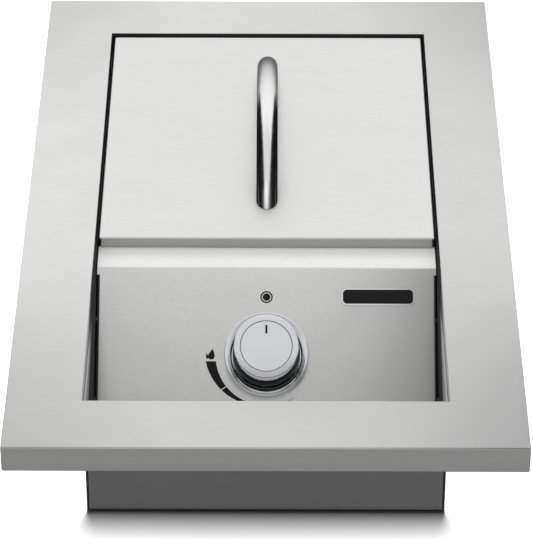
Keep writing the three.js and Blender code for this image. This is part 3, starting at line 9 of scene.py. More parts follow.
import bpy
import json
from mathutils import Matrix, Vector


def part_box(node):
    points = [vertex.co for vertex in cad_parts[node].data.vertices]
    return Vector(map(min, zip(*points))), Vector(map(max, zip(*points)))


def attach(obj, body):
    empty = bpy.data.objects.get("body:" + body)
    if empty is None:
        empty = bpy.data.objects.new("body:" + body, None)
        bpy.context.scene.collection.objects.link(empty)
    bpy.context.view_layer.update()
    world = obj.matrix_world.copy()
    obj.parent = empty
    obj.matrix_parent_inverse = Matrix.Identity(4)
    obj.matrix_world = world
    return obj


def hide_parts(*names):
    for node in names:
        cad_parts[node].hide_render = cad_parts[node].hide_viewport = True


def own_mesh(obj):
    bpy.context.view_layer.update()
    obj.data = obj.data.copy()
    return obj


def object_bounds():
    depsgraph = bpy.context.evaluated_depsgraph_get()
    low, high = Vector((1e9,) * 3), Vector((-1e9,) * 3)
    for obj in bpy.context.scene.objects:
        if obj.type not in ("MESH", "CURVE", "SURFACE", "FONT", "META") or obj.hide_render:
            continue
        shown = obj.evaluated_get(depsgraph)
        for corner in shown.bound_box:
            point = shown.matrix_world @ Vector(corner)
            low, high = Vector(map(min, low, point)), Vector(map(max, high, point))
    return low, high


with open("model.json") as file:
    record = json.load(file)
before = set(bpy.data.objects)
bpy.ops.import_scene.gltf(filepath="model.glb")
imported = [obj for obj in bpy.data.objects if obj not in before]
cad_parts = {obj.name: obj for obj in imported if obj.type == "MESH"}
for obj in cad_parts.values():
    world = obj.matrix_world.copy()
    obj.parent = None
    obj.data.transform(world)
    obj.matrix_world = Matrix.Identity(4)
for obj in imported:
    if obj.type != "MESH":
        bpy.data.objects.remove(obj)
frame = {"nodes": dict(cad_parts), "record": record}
cad_low, cad_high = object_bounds()
print("CAD box", [round(value, 4) for value in cad_low], [round(value, 4) for value in cad_high])

# %% Import the libraries and name the units
import json
import math

import bmesh
import bpy
from mathutils import Matrix, Vector

MM = 0.001
NODES = frame["nodes"]

# %% [markdown]
# ## The camera
#
# The photograph was taken from in front, from high up and far off, so the frame's sides hardly converge.
# The eye's place was worked out from the corners of the trim and of its opening. A short lens close by
# would also fill the frame, but the far edge would then look too small.

# %% Place the camera
EYE = Vector((4.5, -1964.0, 1422.8)) * MM
PITCH_DOWN = math.radians(35.2955)
YAW = math.radians(0.139)
ROLL = math.radians(0.073)
SENSOR = 36.0
LENS = 208.76
NEAREST, FARTHEST = 0.1, 50.0

camera_data = bpy.data.cameras.new("camera")
camera_data.sensor_fit = "VERTICAL"
camera_data.sensor_height = SENSOR
camera_data.sensor_width = SENSOR
camera_data.lens = LENS
camera_data.clip_start = NEAREST
camera_data.clip_end = FARTHEST
camera = bpy.data.objects.new("camera", camera_data)
bpy.context.scene.collection.objects.link(camera)
camera.matrix_world = (
    Matrix.Translation(EYE)
    @ Matrix.Rotation(YAW, 4, "Z")
    @ Matrix.Rotation(math.pi / 2 - PITCH_DOWN, 4, "X")
    @ Matrix.Rotation(ROLL, 4, "Z")
)
bpy.context.scene.camera = camera
bpy.context.scene.view_settings.view_transform = "Standard"
print("camera at", EYE, "lens", LENS)

# %% [markdown]
# ## Helpers for modelling
#
# An operator acts on whatever is selected, so each piece starts from an empty selection, and faces and
# edges are picked in code by where they are. In the end a piece's place goes into its mesh, and it is
# shaded smooth between its sharp edges.

# %% Helpers: selection and finishing
SMOOTH_BELOW = math.radians(30)


def deselect_all():
    if bpy.context.object and bpy.context.object.mode != "OBJECT":
        bpy.ops.object.mode_set(mode="OBJECT")
    bpy.ops.object.select_all(action="DESELECT")


def added(name):
    """The primitive that was just added, with its name."""
    piece = bpy.context.object
    piece.name = name
    return piece


def apply_place():
    bpy.ops.object.transform_apply(location=True, rotation=True, scale=True)


def edit_all():
    bpy.ops.object.mode_set(mode="EDIT")
    bpy.ops.mesh.select_all(action="SELECT")


def pick(kind, test):
    """In edit mode, selects the vertices, edges or faces whose middle point and element pass a test."""
    bpy.ops.mesh.select_all(action="DESELECT")
    bpy.ops.mesh.select_mode(type=kind)
    mesh = bmesh.from_edit_mesh(bpy.context.object.data)
    found = 0
    for element in {"VERT": mesh.verts, "EDGE": mesh.edges, "FACE": mesh.faces}[kind]:
        if kind == "VERT":
            middle = element.co.copy()
        elif kind == "EDGE":
            middle = (element.verts[0].co + element.verts[1].co) / 2
        else:
            middle = element.calc_center_median()
        if test(middle, element):
            element.select_set(True)
            found += 1
    mesh.select_flush_mode()
    bmesh.update_edit_mesh(bpy.context.object.data)
    return found


def settle(piece):
    """Leaves edit mode, puts the place into the mesh and shades it smooth between its sharp edges."""
    if piece.mode != "OBJECT":
        bpy.ops.object.mode_set(mode="OBJECT")
    deselect_all()
    piece.select_set(True)
    bpy.context.view_layer.objects.active = piece
    apply_place()
    bpy.ops.object.shade_smooth_by_angle(angle=SMOOTH_BELOW)
    keep_flats = piece.modifiers.new("keep_flats", "WEIGHTED_NORMAL")
    keep_flats.keep_sharp = True
    bpy.ops.object.modifier_apply(modifier=keep_flats.name)
    piece.select_set(False)
    print(piece.name, len(piece.data.polygons), "faces")
    return piece


def dress(piece, body, slot, material, *replaced):
    """Gives a piece its body, its material and the solids that it stands for. slot is not used."""
    piece.data.materials.clear()
    piece.data.materials.append(material)
    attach(piece, body)
    if replaced:
        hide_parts(*replaced)
    return piece


# %% [markdown]
# ## The studio
#
# Shiny metal has hardly any colour of its own: it shows the room. The photograph's room was bright behind
# the object, greyer overhead and darkest where the camera stood. Here a plain world and one soft lamp light
# every piece, and a ramp round the sky, a few glowing cards and two side walls are there for reflections
# only. Lamps alone could do both jobs, but then each reflection that is moved would change the light
# everywhere.

# %% Helpers: nodes
def add_node(tree, kind, inputs):
    """One node. Each named or numbered input gets a value, or a link from the socket that feeds it."""
    node = tree.nodes.new(kind)
    for name, value in inputs.items():
        if isinstance(value, bpy.types.NodeSocket):
            tree.links.new(value, node.inputs[name])
        else:
            node.inputs[name].default_value = value
    return node


def math_node(tree, operation, *values):
    node = add_node(tree, "ShaderNodeMath", dict(enumerate(values)))
    node.operation = operation
    return node.outputs[0]


def product(tree, *values):
    return math_node(tree, "MULTIPLY", *values)


def ranged(tree, value, from_low, from_high, low, high, smooth=False):
    """Maps one range of a value onto another and holds it beyond both ends."""
    ends = {"From Min": from_low, "From Max": from_high, "To Min": low, "To Max": high}
    node = add_node(tree, "ShaderNodeMapRange", {"Value": value, **ends})
    node.interpolation_type = "SMOOTHSTEP" if smooth else "LINEAR"
    return node.outputs["Result"]


def axes_of(tree, kind):
    """The three axes of a texture coordinate."""
    place = tree.nodes.new("ShaderNodeTexCoord")
    return add_node(tree, "ShaderNodeSeparateXYZ", {0: place.outputs[kind]}).outputs


# %% [markdown]
# The world stands for the room. Matt surfaces get one plain level from it, so colours render about as they
# are written. Mirror-like rays get a ramp instead, which runs from 0 at the horizon behind the object over
# 0.5 overhead to 1 at the horizon in front. A picture of a room would do as well, but a ramp has only a few
# numbers to set.

# %% Build the world
WHITE = (1, 1, 1, 1)
WORLD_PLAIN = 0.72
MIRRORED_SKY = [(0.0, 1.0), (0.30, 1.0), (0.37, 0.9), (0.43, 0.75), (0.49, 0.75), (0.55, 0.75), (0.68, 0.7),
                (0.72, 0.62), (0.80, 0.42), (0.86, 0.8), (1.0, 0.8)]

world = bpy.data.worlds.new("studio_world")
bpy.context.scene.world = world
world.use_nodes = True
tree = world.node_tree
tree.nodes.clear()
path = tree.nodes.new("ShaderNodeLightPath")
toward = axes_of(tree, "Generated")
turn_share = math_node(tree, "DIVIDE", math_node(tree, "ARCTAN2", toward["Z"], toward["Y"]), math.pi)
ramp = add_node(tree, "ShaderNodeValToRGB", {"Fac": turn_share})
while len(ramp.color_ramp.elements) < len(MIRRORED_SKY):
    ramp.color_ramp.elements.new(0.5)
for element, (place, level) in zip(ramp.color_ramp.elements, MIRRORED_SKY):
    element.position = place
    element.color = (level, level, level, 1)
mirrors = path.outputs["Is Glossy Ray"]
plain = product(tree, math_node(tree, "SUBTRACT", 1.0, mirrors), WORLD_PLAIN)
mirrored = product(tree, ramp.outputs["Color"], mirrors)
strength = math_node(tree, "ADD", plain, mirrored)
for ray in ("Is Camera Ray", "Is Transmission Ray"):
    strength = math_node(tree, "MAXIMUM", strength, path.outputs[ray])
background = add_node(tree, "ShaderNodeBackground", {"Color": WHITE, "Strength": strength})
add_node(tree, "ShaderNodeOutputWorld", {"Surface": background.outputs[0]})
print("world built")

# %% [markdown]
# The floor is a big pale plane just under the housing. To the camera it also glows, which makes it white,
# but a glow swallows the shadow at the housing's foot. So a contact shadow is painted on the floor: the
# glow and the floor's own grey fall away close in front of the housing and behind it. A hard lamp could
# cast that shadow, but it would show in all the metal.

# %% Lay the floor
FLOOR_HALF = 6.0
FLOOR_DROP = 0.0002

foot_low, foot_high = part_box("burner_box")
deselect_all()
bpy.ops.mesh.primitive_plane_add(size=2 * FLOOR_HALF, location=(0, 0, cad_low.z - FLOOR_DROP))
floor = added("floor")
print("floor laid at", round(floor.location.z, 5))

# %% Finish the floor
FLOOR_GREY = 0.9
CONTACT_SHADOW_GREY = 0.09
CONTACT_GLOW = 0.87
CONTACT_REACH = 38 * MM
CONTACT_TAIL = 0.8 * CONTACT_REACH
CONTACT_END = 46 * MM
CONTACT_INWARD, CONTACT_OUTWARD = 0.45, 0.95
CONTACT_SHARP = 0.5 * MM

floor_material = bpy.data.materials.new("white_floor_painted_shadow")
floor_material.use_nodes = True
tree = floor_material.node_tree
tree.nodes.clear()
where = axes_of(tree, "Object")
# Painted contact shadow: it deepens close in front of and behind the housing.
ahead = math_node(tree, "SUBTRACT", math_node(tree, "ABSOLUTE", where["Y"]), foot_high.y)
beside = math_node(tree, "SUBTRACT", math_node(tree, "ABSOLUTE", where["X"]), foot_high.x)
aslant = math_node(tree, "DIVIDE", beside, math_node(tree, "MAXIMUM", ahead, CONTACT_SHARP))
within = ranged(tree, aslant, -CONTACT_INWARD, CONTACT_OUTWARD, 1.0, 0.0, smooth=True)
near_shade = ranged(tree, ahead, 0.0, CONTACT_REACH, CONTACT_GLOW, 0.0)
far_shade = ranged(tree, ahead, CONTACT_TAIL, CONTACT_END, 1.0 - CONTACT_GLOW, 0.0)
depth = product(tree, math_node(tree, "ADD", near_shade, far_shade), within)
open_floor = math_node(tree, "SUBTRACT", 1.0, depth)
path = tree.nodes.new("ShaderNodeLightPath")
strength = product(tree, open_floor, path.outputs["Is Camera Ray"])
glow = add_node(tree, "ShaderNodeEmission", {"Color": WHITE, "Strength": strength})
# Painted shadow: the floor's own grey falls away near the housing's foot.
painted_shadow_loss = ranged(tree, ahead, 0.0, CONTACT_REACH, FLOOR_GREY - CONTACT_SHADOW_GREY, 0.0)
shade = math_node(tree, "SUBTRACT", FLOOR_GREY, product(tree, painted_shadow_loss, within))
grey = add_node(tree, "ShaderNodeCombineColor", {"Red": shade, "Green": shade, "Blue": shade})
matt = add_node(tree, "ShaderNodeBsdfDiffuse", {"Color": grey.outputs[0]})
both = add_node(tree, "ShaderNodeAddShader", {0: matt.outputs[0], 1: glow.outputs[0]})
add_node(tree, "ShaderNodeOutputMaterial", {"Surface": both.outputs[0]})
floor.data.materials.append(floor_material)
print("floor finished")

# %% [markdown]
# One large soft lamp hangs above, a little to the front. A small lamp would make hard shadows, and the
# photograph has none. The metal doesn't see it, because a bright square would show in the rod.

# %% Hang the lamp
LAMP_PLACE = Vector((0.0, -0.2, 1.8))
LAMP_SIZE = 1.6
LAMP_POWER = 10.0

lamp_data = bpy.data.lights.new("overhead_lamp", "AREA")
lamp_data.shape = "RECTANGLE"
lamp_data.size = LAMP_SIZE
lamp_data.size_y = LAMP_SIZE
lamp_data.energy = LAMP_POWER
lamp = bpy.data.objects.new("overhead_lamp", lamp_data)
bpy.context.scene.collection.objects.link(lamp)
lamp.location = LAMP_PLACE
lamp.rotation_euler = (Vector((0, 0, 0)) - LAMP_PLACE).to_track_quat("-Z", "Y").to_euler()
lamp.visible_camera = False
lamp.visible_glossy = False
print("lamp hung")

# %% [markdown]
# A card is how a photographer paints a reflection: a sheet that glows, put where the metal mirrors it. Two
# dim cards lie on the floor in front, for the upright faces there. A bright one hangs above the front, for
# the sloping panel, and fades where the photograph's panel is darker. Painting the tones onto the metal
# would be quicker, but paint doesn't move with the eye as a reflection does.

# %% Helper: glowing cards
def card(name, corner_low, corner_high, level, fades=()):
    """A flat card between two corners that glows. Only reflections can see it. A fade is (axis, from, to,
    share): going along the axis from one place to the other, the glow falls softly to that share."""
    low, high = Vector(corner_low), Vector(corner_high)
    thin = min(range(3), key=lambda axis: abs(high[axis] - low[axis]))
    across, up = [axis for axis in range(3) if axis != thin]
    deselect_all()
    bpy.ops.mesh.primitive_plane_add(size=1.0)
    sheet = added(name)
    middle = (low + high) / 2
    for vertex in sheet.data.vertices:
        spot = middle.copy()
        spot[across] += vertex.co.x * (high[across] - low[across])
        spot[up] += vertex.co.y * (high[up] - low[up])
        vertex.co = spot
    material = bpy.data.materials.new(name)
    material.use_nodes = True
    tree = material.node_tree
    tree.nodes.clear()
    where = axes_of(tree, "Object")
    strength = level
    for axis, start, end, share in fades:
        fade = ranged(tree, where[axis], start, end, 1.0, share, smooth=True)
        strength = product(tree, strength, fade)
    glow = add_node(tree, "ShaderNodeEmission", {"Strength": strength})
    add_node(tree, "ShaderNodeOutputMaterial", {"Surface": glow.outputs[0]})
    sheet.data.materials.append(material)
    sheet.visible_camera = False
    sheet.visible_diffuse = False
    sheet.visible_shadow = False
    sheet.visible_transmission = False
    sheet.visible_volume_scatter = False
    return sheet


# %% Set the cards
CARD_LIFT = 1 * MM
FOOT_GAP = 2 * MM
CARD_SEAM = -0.36
NEAR_HALF, NEAR_LEVEL = 0.6, 0.17
FAR_HALF, FAR_FRONT, FAR_LEVEL = 1.0, -1.9, 0.30
UPPER_LOW, UPPER_HIGH, UPPER_LEVEL = (-0.6, -0.6, 0.55), (0.6, -0.14, 0.55), 1.05
UPPER_FADES = [
    ("X", 0.087, 0.163, 0.3),
    ("X", -0.1, -0.2, 0.8),
    ("X", 0.22, 0.36, 0.1),
    ("X", -0.22, -0.36, 0.1),
    ("Y", -0.22, -0.28, 0.68),
    ("Y", -0.37, -0.45, 0.7),
]

near_low = (-NEAR_HALF, CARD_SEAM, CARD_LIFT)
near_high = (NEAR_HALF, foot_low.y - FOOT_GAP, CARD_LIFT)
card("front_near_card", near_low, near_high, NEAR_LEVEL)
card("front_far_card", (-FAR_HALF, FAR_FRONT, CARD_LIFT), (FAR_HALF, CARD_SEAM, CARD_LIFT), FAR_LEVEL)
card("upper_card", UPPER_LOW, UPPER_HIGH, UPPER_LEVEL, UPPER_FADES)
print("cards set")

# %% [markdown]
# The ramp only runs from back to front, so two more glowing cards stand in for the room's side walls. Their
# upper corners are then moved, so that they end higher in front than at the back, as the bright sides in
# the photograph's reflections do.

# %% Set the side walls
WALL_LEVEL = 0.85
WALL_AWAY, WALL_FRONT, WALL_BACK, WALL_TOP = 1.1, -2.6, 1.7, 2.4
WALL_TOP_FRONT, WALL_TOP_BACK = (-1.2, 2.6), (0.8, 1.35)

walls = []
for name, x in (("wall_card_left", -WALL_AWAY), ("wall_card_right", WALL_AWAY)):
    wall = card(name, (x, WALL_FRONT, CARD_LIFT), (x, WALL_BACK, WALL_TOP), WALL_LEVEL)
    for vertex in wall.data.vertices:
        if vertex.co.z > WALL_TOP / 2:
            vertex.co.yz = WALL_TOP_FRONT if vertex.co.y < 0 else WALL_TOP_BACK
    walls.append(wall)
print(len(walls), "walls set")

# %% [markdown]
# ## The finishes
#
# Every finish is one Principled shader varied by noise in object space, so it holds from any side and needs
# no pictures. Stretched along one axis the noise is the grain of rolled sheet, and unstretched it is the
# fine unevenness of a casting or a coat.

# %% Helpers: materials
NOISE_LOW, NOISE_HIGH = 0.3, 0.7


def new_material(name, color, metallic, roughness):
    material = bpy.data.materials.new(name)
    material.use_nodes = True
    shader = material.node_tree.nodes["Principled BSDF"]
    shader.inputs["Base Color"].default_value = (*color, 1)
    shader.inputs["Metallic"].default_value = metallic
    shader.inputs["Roughness"].default_value = roughness
    return material, material.node_tree, shader


def noise_on(tree, stretch, scale, detail=3.0):
    """Noise in object space, stretched by a scale for each axis."""
    place = tree.nodes.new("ShaderNodeTexCoord")
    mapping = add_node(tree, "ShaderNodeMapping", {"Vector": place.outputs["Object"], "Scale": stretch})
    spot = mapping.outputs["Vector"]
    noise = add_node(tree, "ShaderNodeTexNoise", {"Vector": spot, "Scale": scale, "Detail": detail})
    return noise.outputs["Fac"]


def spread(tree, noise, low, high):
    """Maps the middle of a noise, where nearly all of its values lie, onto a range."""
    return ranged(tree, noise, NOISE_LOW, NOISE_HIGH, low, high)


def tinted(tree, value, dark, light):
    """A colour that goes from dark to light as a value goes from 0 to 1."""
    node = tree.nodes.new("ShaderNodeMix")
    node.data_type = "RGBA"
    node.inputs["A"].default_value = (*dark, 1)
    node.inputs["B"].default_value = (*light, 1)
    tree.links.new(value, node.inputs["Factor"])
    return node.outputs["Result"]


# %% [markdown]
# Brushed steel has fine streaks along one direction and soft patches where it was wiped. The streaks darken
# the colour a little, and the patches change the colour and the roughness. Real streaks are scratches, but
# bumps this fine only flicker in a render, so the colour carries them.

# %% Make brushed steel
STEEL_GRAIN = (120.0, 850.0, 850.0)
STEEL_PATCHES = (22.0, 34.0, 34.0)
STEEL_DETAIL = 2.0
ROUGHNESS_SWING = 0.03
SATIN_LOOK = {"light": (0.775, 0.775, 0.77), "contrast": 0.03, "mottling": 0.02, "roughness": 0.32}


def brushed_steel(name, light, contrast, mottling, roughness, grain=STEEL_GRAIN):
    """Steel with a grain. light is its own grey, contrast is how far the streaks darken it, and mottling is
    how far the soft patches do."""
    material, tree, shader = new_material(name, light, 1.0, roughness)
    streaks = noise_on(tree, grain, 1.0, STEEL_DETAIL)
    patches = noise_on(tree, STEEL_PATCHES, 1.0, STEEL_DETAIL)
    worn = product(tree, spread(tree, patches, 0.0, 1.0), mottling)
    fine = product(tree, spread(tree, streaks, 0.0, 1.0), contrast)
    dark = tuple(channel * (1 - contrast - mottling) for channel in light)
    depth = math_node(tree, "DIVIDE", math_node(tree, "ADD", worn, fine), contrast + mottling)
    tree.links.new(tinted(tree, depth, dark, light), shader.inputs["Base Color"])
    rough = spread(tree, patches, roughness - ROUGHNESS_SWING, roughness + ROUGHNESS_SWING)
    tree.links.new(rough, shader.inputs["Roughness"])
    return material, tree, shader


satin_steel = brushed_steel("satin_steel", **SATIN_LOOK)[0]
print("satin steel made")

# %% [markdown]
# The panel's slope is painted darker than its ledge, and darkest low down in the recess: painted shade. Its
# flat ledge keeps the steel's pale colour, a satin that mirrors little. The place in the piece tells one
# from
# the other: the ledge is its top skin. Two materials on separate faces would do too, but they would meet in
# a hard line.

# %% Make the panel's steel
PANEL_GRAIN = (240.0, 1300.0, 1300.0)
PANEL_ROUGHNESS = 0.24
# Grey of the painted shade on the panel's slope and the trim's top.
PAINTED_SHADE_GREY = (0.4, 0.4, 0.4)
SLOPE_UNSHADED_LOW, SLOPE_UNSHADED_HIGH = 0.6, 0.745
SLOPE_TOP_SHARE = 0.8
LEDGE_SKIN = 1.2 * MM
LEDGE_ROUGHNESS, LEDGE_METALLIC = 0.3, 0.2


def recolour(tree, shader, factor, color):
    """Where the factor falls to 0, the colour that the shader already has gives way to another one."""
    before = shader.inputs["Base Color"].links[0].from_socket
    after = tinted(tree, factor, color, color)
    tree.links.new(before, after.node.inputs["B"])
    tree.links.new(after, shader.inputs["Base Color"])


panel_low, panel_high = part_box("control_panel")
panel_steel, tree, shader = brushed_steel("panel_steel", (0.9, 0.9, 0.89), 0.06, 0.03, PANEL_ROUGHNESS,
                                          PANEL_GRAIN)
height = axes_of(tree, "Object")["Z"]
on_ledge = ranged(tree, height, panel_high.z - LEDGE_SKIN, panel_high.z, 0.0, 1.0)
slope_top = SLOPE_TOP_SHARE * panel_high.z
# Painted shade: the slope's colour darkens towards the panel's foot.
slope_unshaded = ranged(tree, height, panel_low.z, slope_top, SLOPE_UNSHADED_LOW, SLOPE_UNSHADED_HIGH, smooth=True)
recolour(tree, shader, math_node(tree, "MAXIMUM", slope_unshaded, on_ledge), PAINTED_SHADE_GREY)
rough = ranged(tree, on_ledge, 0.0, 1.0, PANEL_ROUGHNESS, LEDGE_ROUGHNESS)
tree.links.new(rough, shader.inputs["Roughness"])
tree.links.new(ranged(tree, on_ledge, 0.0, 1.0, 1.0, LEDGE_METALLIC), shader.inputs["Metallic"])
print("panel steel made")

# %% [markdown]
# The inner side of the opening is painted black, most at the back: painted shade where the recess is deep.
# It lies on the housing's inner face and on the trim's flange, so one helper says how far a point is shaded
# by its place. The painted shade is given no metal, so the metallic value falls with it.

# %% Helpers: painted recess shade
RECESS_SHADE_BLACK = (0.012, 0.012, 0.013)
RECESS_SHADE_LEAN_BACK, RECESS_SHADE_LEAN_RIGHT = 0.365, -0.03
RECESS_SHADE_LOW, RECESS_SHADE_HIGH = 131 * MM, 152 * MM
RECESS_SHADE_ROUGHNESS = 0.9


def paint_recess_shade(tree, shader, where, spared, roughness):
    """Paints shade black onto the metal where a point lies low and far back. spared is 1 where it never
    reaches.
    """
    lean = math_node(tree, "ADD", product(tree, where["Y"], RECESS_SHADE_LEAN_BACK),
                     product(tree, where["X"], RECESS_SHADE_LEAN_RIGHT))
    height = math_node(tree, "SUBTRACT", where["Z"], lean)
    unshaded = ranged(tree, height, RECESS_SHADE_LOW, RECESS_SHADE_HIGH, 0.0, 1.0, smooth=True)
    unshaded = math_node(tree, "MAXIMUM", spared, unshaded)
    # Painted shade: the metal turns black where the recess is deep.
    recolour(tree, shader, unshaded, RECESS_SHADE_BLACK)
    tree.links.new(unshaded, shader.inputs["Metallic"])
    tree.links.new(ranged(tree, unshaded, 0.0, 1.0, RECESS_SHADE_ROUGHNESS, roughness), shader.inputs["Roughness"])


def past(tree, value, limit):
    """1 where the size of a value is past a limit."""
    return math_node(tree, "GREATER_THAN", math_node(tree, "ABSOLUTE", value), limit)


def beyond(tree, where, half_x, half_y):
    """1 where a point lies past a half width or a half depth."""
    return math_node(tree, "MAXIMUM", past(tree, where["X"], half_x), past(tree, where["Y"], half_y))


# %% [markdown]
# The trim's top is painted darker towards the front, the corners and the right: painted shade. Big soft
# noise could do that, but the place in the piece drives it. Its top and its outer sides are spared by the
# painted black of the recess.

# %% Make the trim's steel
TRIM_ROUGHNESS = 0.32
SHADE_FRONT, SHADE_RIGHT, SHADE_CORNER = 0.28, 0.27, 0.4
FRONT_START, FRONT_FULL = 0.1, 0.75
CORNER_START, CORNER_FULL = 0.35, 0.95
TOP_SKIN = 1 * MM
OPENING_HALF_X, OPENING_HALF_Y = 127.2 * MM, 244.2 * MM
FLANGE_SPARED = 0.35 * MM

trim_low, trim_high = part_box("trim_frame")
trim_steel, tree, shader = brushed_steel("trim_steel", (0.785, 0.785, 0.775), 0.04, 0.04, TRIM_ROUGHNESS)
where = axes_of(tree, "Object")
front_start, front_full = FRONT_START * trim_low.y, FRONT_FULL * trim_low.y
front = ranged(tree, where["Y"], front_start, front_full, 0.0, SHADE_FRONT, smooth=True)
right = ranged(tree, where["X"], trim_low.x, trim_high.x, 0.0, SHADE_RIGHT)
cornerness = math_node(tree, "ABSOLUTE", product(tree, where["X"], where["Y"]))
most = trim_high.x * trim_high.y
corner = ranged(tree, cornerness, CORNER_START * most, CORNER_FULL * most, 0.0, SHADE_CORNER)
on_top = math_node(tree, "GREATER_THAN", where["Z"], trim_high.z - TOP_SKIN)
# Painted shade on the trim's top, deepest at the front right corner.
painted_shade = math_node(tree, "ADD", math_node(tree, "ADD", front, right), corner)
painted_shade = product(tree, painted_shade, on_top)
recolour(tree, shader, math_node(tree, "SUBTRACT", 1.0, painted_shade), PAINTED_SHADE_GREY)
# The flange inside the opening gets the painted black of the recess.
past_flange = beyond(tree, where, OPENING_HALF_X, OPENING_HALF_Y)
spared = math_node(tree, "MAXIMUM", past_flange, past(tree, where["Z"], trim_high.z - FLANGE_SPARED))
paint_recess_shade(tree, shader, where, spared, TRIM_ROUGHNESS)
print("trim steel made")

# %% [markdown]
# The housing is the same kind of sheet, painted a darker grey for the shade under the trim: painted shade.
# The inside is told from the outside by its place: a point that lies deeper than the outer skin is on the
# inner face, and gets the painted black of the recess.

# %% Make the housing's steel
BOX_ROUGHNESS = 0.42
BOX_SKIN = 0.1 * MM

# A darker grey than the trim's steel: painted shade.
box_steel, tree, shader = brushed_steel("box_steel", (0.475, 0.475, 0.485), 0.03, 0.04, BOX_ROUGHNESS)
where = axes_of(tree, "Object")
past_wall = beyond(tree, where, foot_high.x - BOX_SKIN, foot_high.y - BOX_SKIN)
past_foot = math_node(tree, "LESS_THAN", where["Z"], foot_low.z + BOX_SKIN)
# Painted shade: the inner face turns black where the recess is deep.
paint_recess_shade(tree, shader, where, math_node(tree, "MAXIMUM", past_wall, past_foot), BOX_ROUGHNESS)
print("housing steel made")

# %% [markdown]
# The other finishes have no grain: plating, brass, castings, enamel, plastic and rubber. Each is one row of
# a table with its colour, metallic value and roughness, how far the noise darkens it, how fine the noise is
# and how much of it is a bump. The record names a finish for every solid, and a loop gives each its own.

# %% Make the other metals and finishes
ROD_GRAIN = (900.0, 60.0, 900.0)
ROUGHNESS_SHARE = 0.15
BUMP_DEPTH = 0.0003


def plain_finish(name, color, metallic, roughness, fading, scale, bump):
    """A finish with even, fine variation."""
    material, tree, shader = new_material(name, color, metallic, roughness)
    grain = noise_on(tree, (1.0, 1.0, 1.0), scale)
    dark = tuple(channel * (1 - fading) for channel in color)
    tree.links.new(tinted(tree, spread(tree, grain, 0.0, 1.0), dark, color), shader.inputs["Base Color"])
    rough = spread(tree, grain, roughness * (1 - ROUGHNESS_SHARE), roughness * (1 + ROUGHNESS_SHARE))
    tree.links.new(rough, shader.inputs["Roughness"])
    if bump:
        node = add_node(tree, "ShaderNodeBump", {"Height": grain, "Strength": bump, "Distance": BUMP_DEPTH})
        tree.links.new(node.outputs["Normal"], shader.inputs["Normal"])
    return material


PLAIN_FINISHES = {
    "chrome": ((0.87, 0.88, 0.91), 1.0, 0.07, 0.02, 200.0, 0.0),
    "satin_cap": ((0.89, 0.9, 0.94), 1.0, 0.18, 0.02, 400.0, 0.0),
    "zinc": ((0.58, 0.59, 0.6), 1.0, 0.38, 0.12, 260.0, 0.05),
    "brass": ((0.72, 0.55, 0.28), 1.0, 0.3, 0.1, 300.0, 0.04),
    "aluminium": ((0.66, 0.67, 0.67), 1.0, 0.42, 0.1, 500.0, 0.12),
    "cast_iron": ((0.035, 0.035, 0.036), 0.0, 0.6, 0.25, 700.0, 0.3),
    "enamel": ((0.02, 0.021, 0.024), 0.0, 0.14, 0.1, 60.0, 0.0),
    "ceramic": ((0.85, 0.83, 0.78), 0.0, 0.25, 0.05, 200.0, 0.02),
    "black_plastic": ((0.03, 0.03, 0.033), 0.0, 0.45, 0.15, 600.0, 0.1),
    "silicone": ((0.05, 0.05, 0.05), 0.0, 0.7, 0.15, 500.0, 0.08),
}

FINISHES = {
    "satin_steel": satin_steel,
    "box_steel": box_steel,
    "polished_steel": brushed_steel("polished_steel", (0.92, 0.92, 0.92), 0.02, 0.01, 0.22, ROD_GRAIN)[0],
}
for name, row in PLAIN_FINISHES.items():
    FINISHES[name] = plain_finish(name, *row)
print(len(FINISHES), "finishes")

# %% Finish every solid
SLOTS = {row["node"]: row["material_slot"] for row in frame["record"]["subparts"]}

for node, slot in SLOTS.items():
    NODES[node].data.materials.clear()
    NODES[node].data.materials.append(FINISHES[slot])
print(len(SLOTS), "solids finished")

# %% [markdown]
# ## The trim frame
#
# The real trim is one sheet of steel with an opening cut in it. Its outer edges are folded down into a
# skirt and in again to a lip, and the edges of the opening are folded down as a flange. A plane, inset and
# with its middle deleted, is that sheet before folding. Extruding its edges folds it, a weighted bevel
# rounds the folds, and Solidify gives the sheet its thickness inwards, which keeps the visible size exact.

# %% Helpers: folded sheet
CLOSE = 0.02 * MM
FOLD_STEPS = 5


def add_sheet(name, low, high):
    """A flat plane over a box's top, in edit mode with all of it selected."""
    deselect_all()
    middle = (low + high) / 2
    bpy.ops.mesh.primitive_plane_add(size=1.0, location=(middle.x, middle.y, high.z))
    sheet = added(name)
    sheet.scale = (high.x - low.x, high.y - low.y, 1)
    apply_place()
    edit_all()
    return sheet


def extrude(move=(0, 0, 0)):
    bpy.ops.mesh.extrude_region_move(TRANSFORM_OT_translate={"value": move})


def apply_modifier(piece, kind, **settings):
    """Adds one modifier with its settings and applies it."""
    if piece.mode != "OBJECT":
        bpy.ops.object.mode_set(mode="OBJECT")
    modifier = piece.modifiers.new(kind.lower(), kind)
    for key, value in settings.items():
        setattr(modifier, key, value)
    bpy.context.view_layer.objects.active = piece
    bpy.ops.object.modifier_apply(modifier=modifier.name)


def weigh(radius, widest, test):
    """Marks edges to be rounded with a radius, written as a share of the widest one on the piece."""
    pick("EDGE", test)
    bpy.ops.transform.edge_bevelweight(value=radius / widest)


def at_height(middle, height):
    return abs(middle.z - height) < CLOSE


def rises(middle, edge):
    return abs(edge.verts[0].co.z - edge.verts[1].co.z) > CLOSE


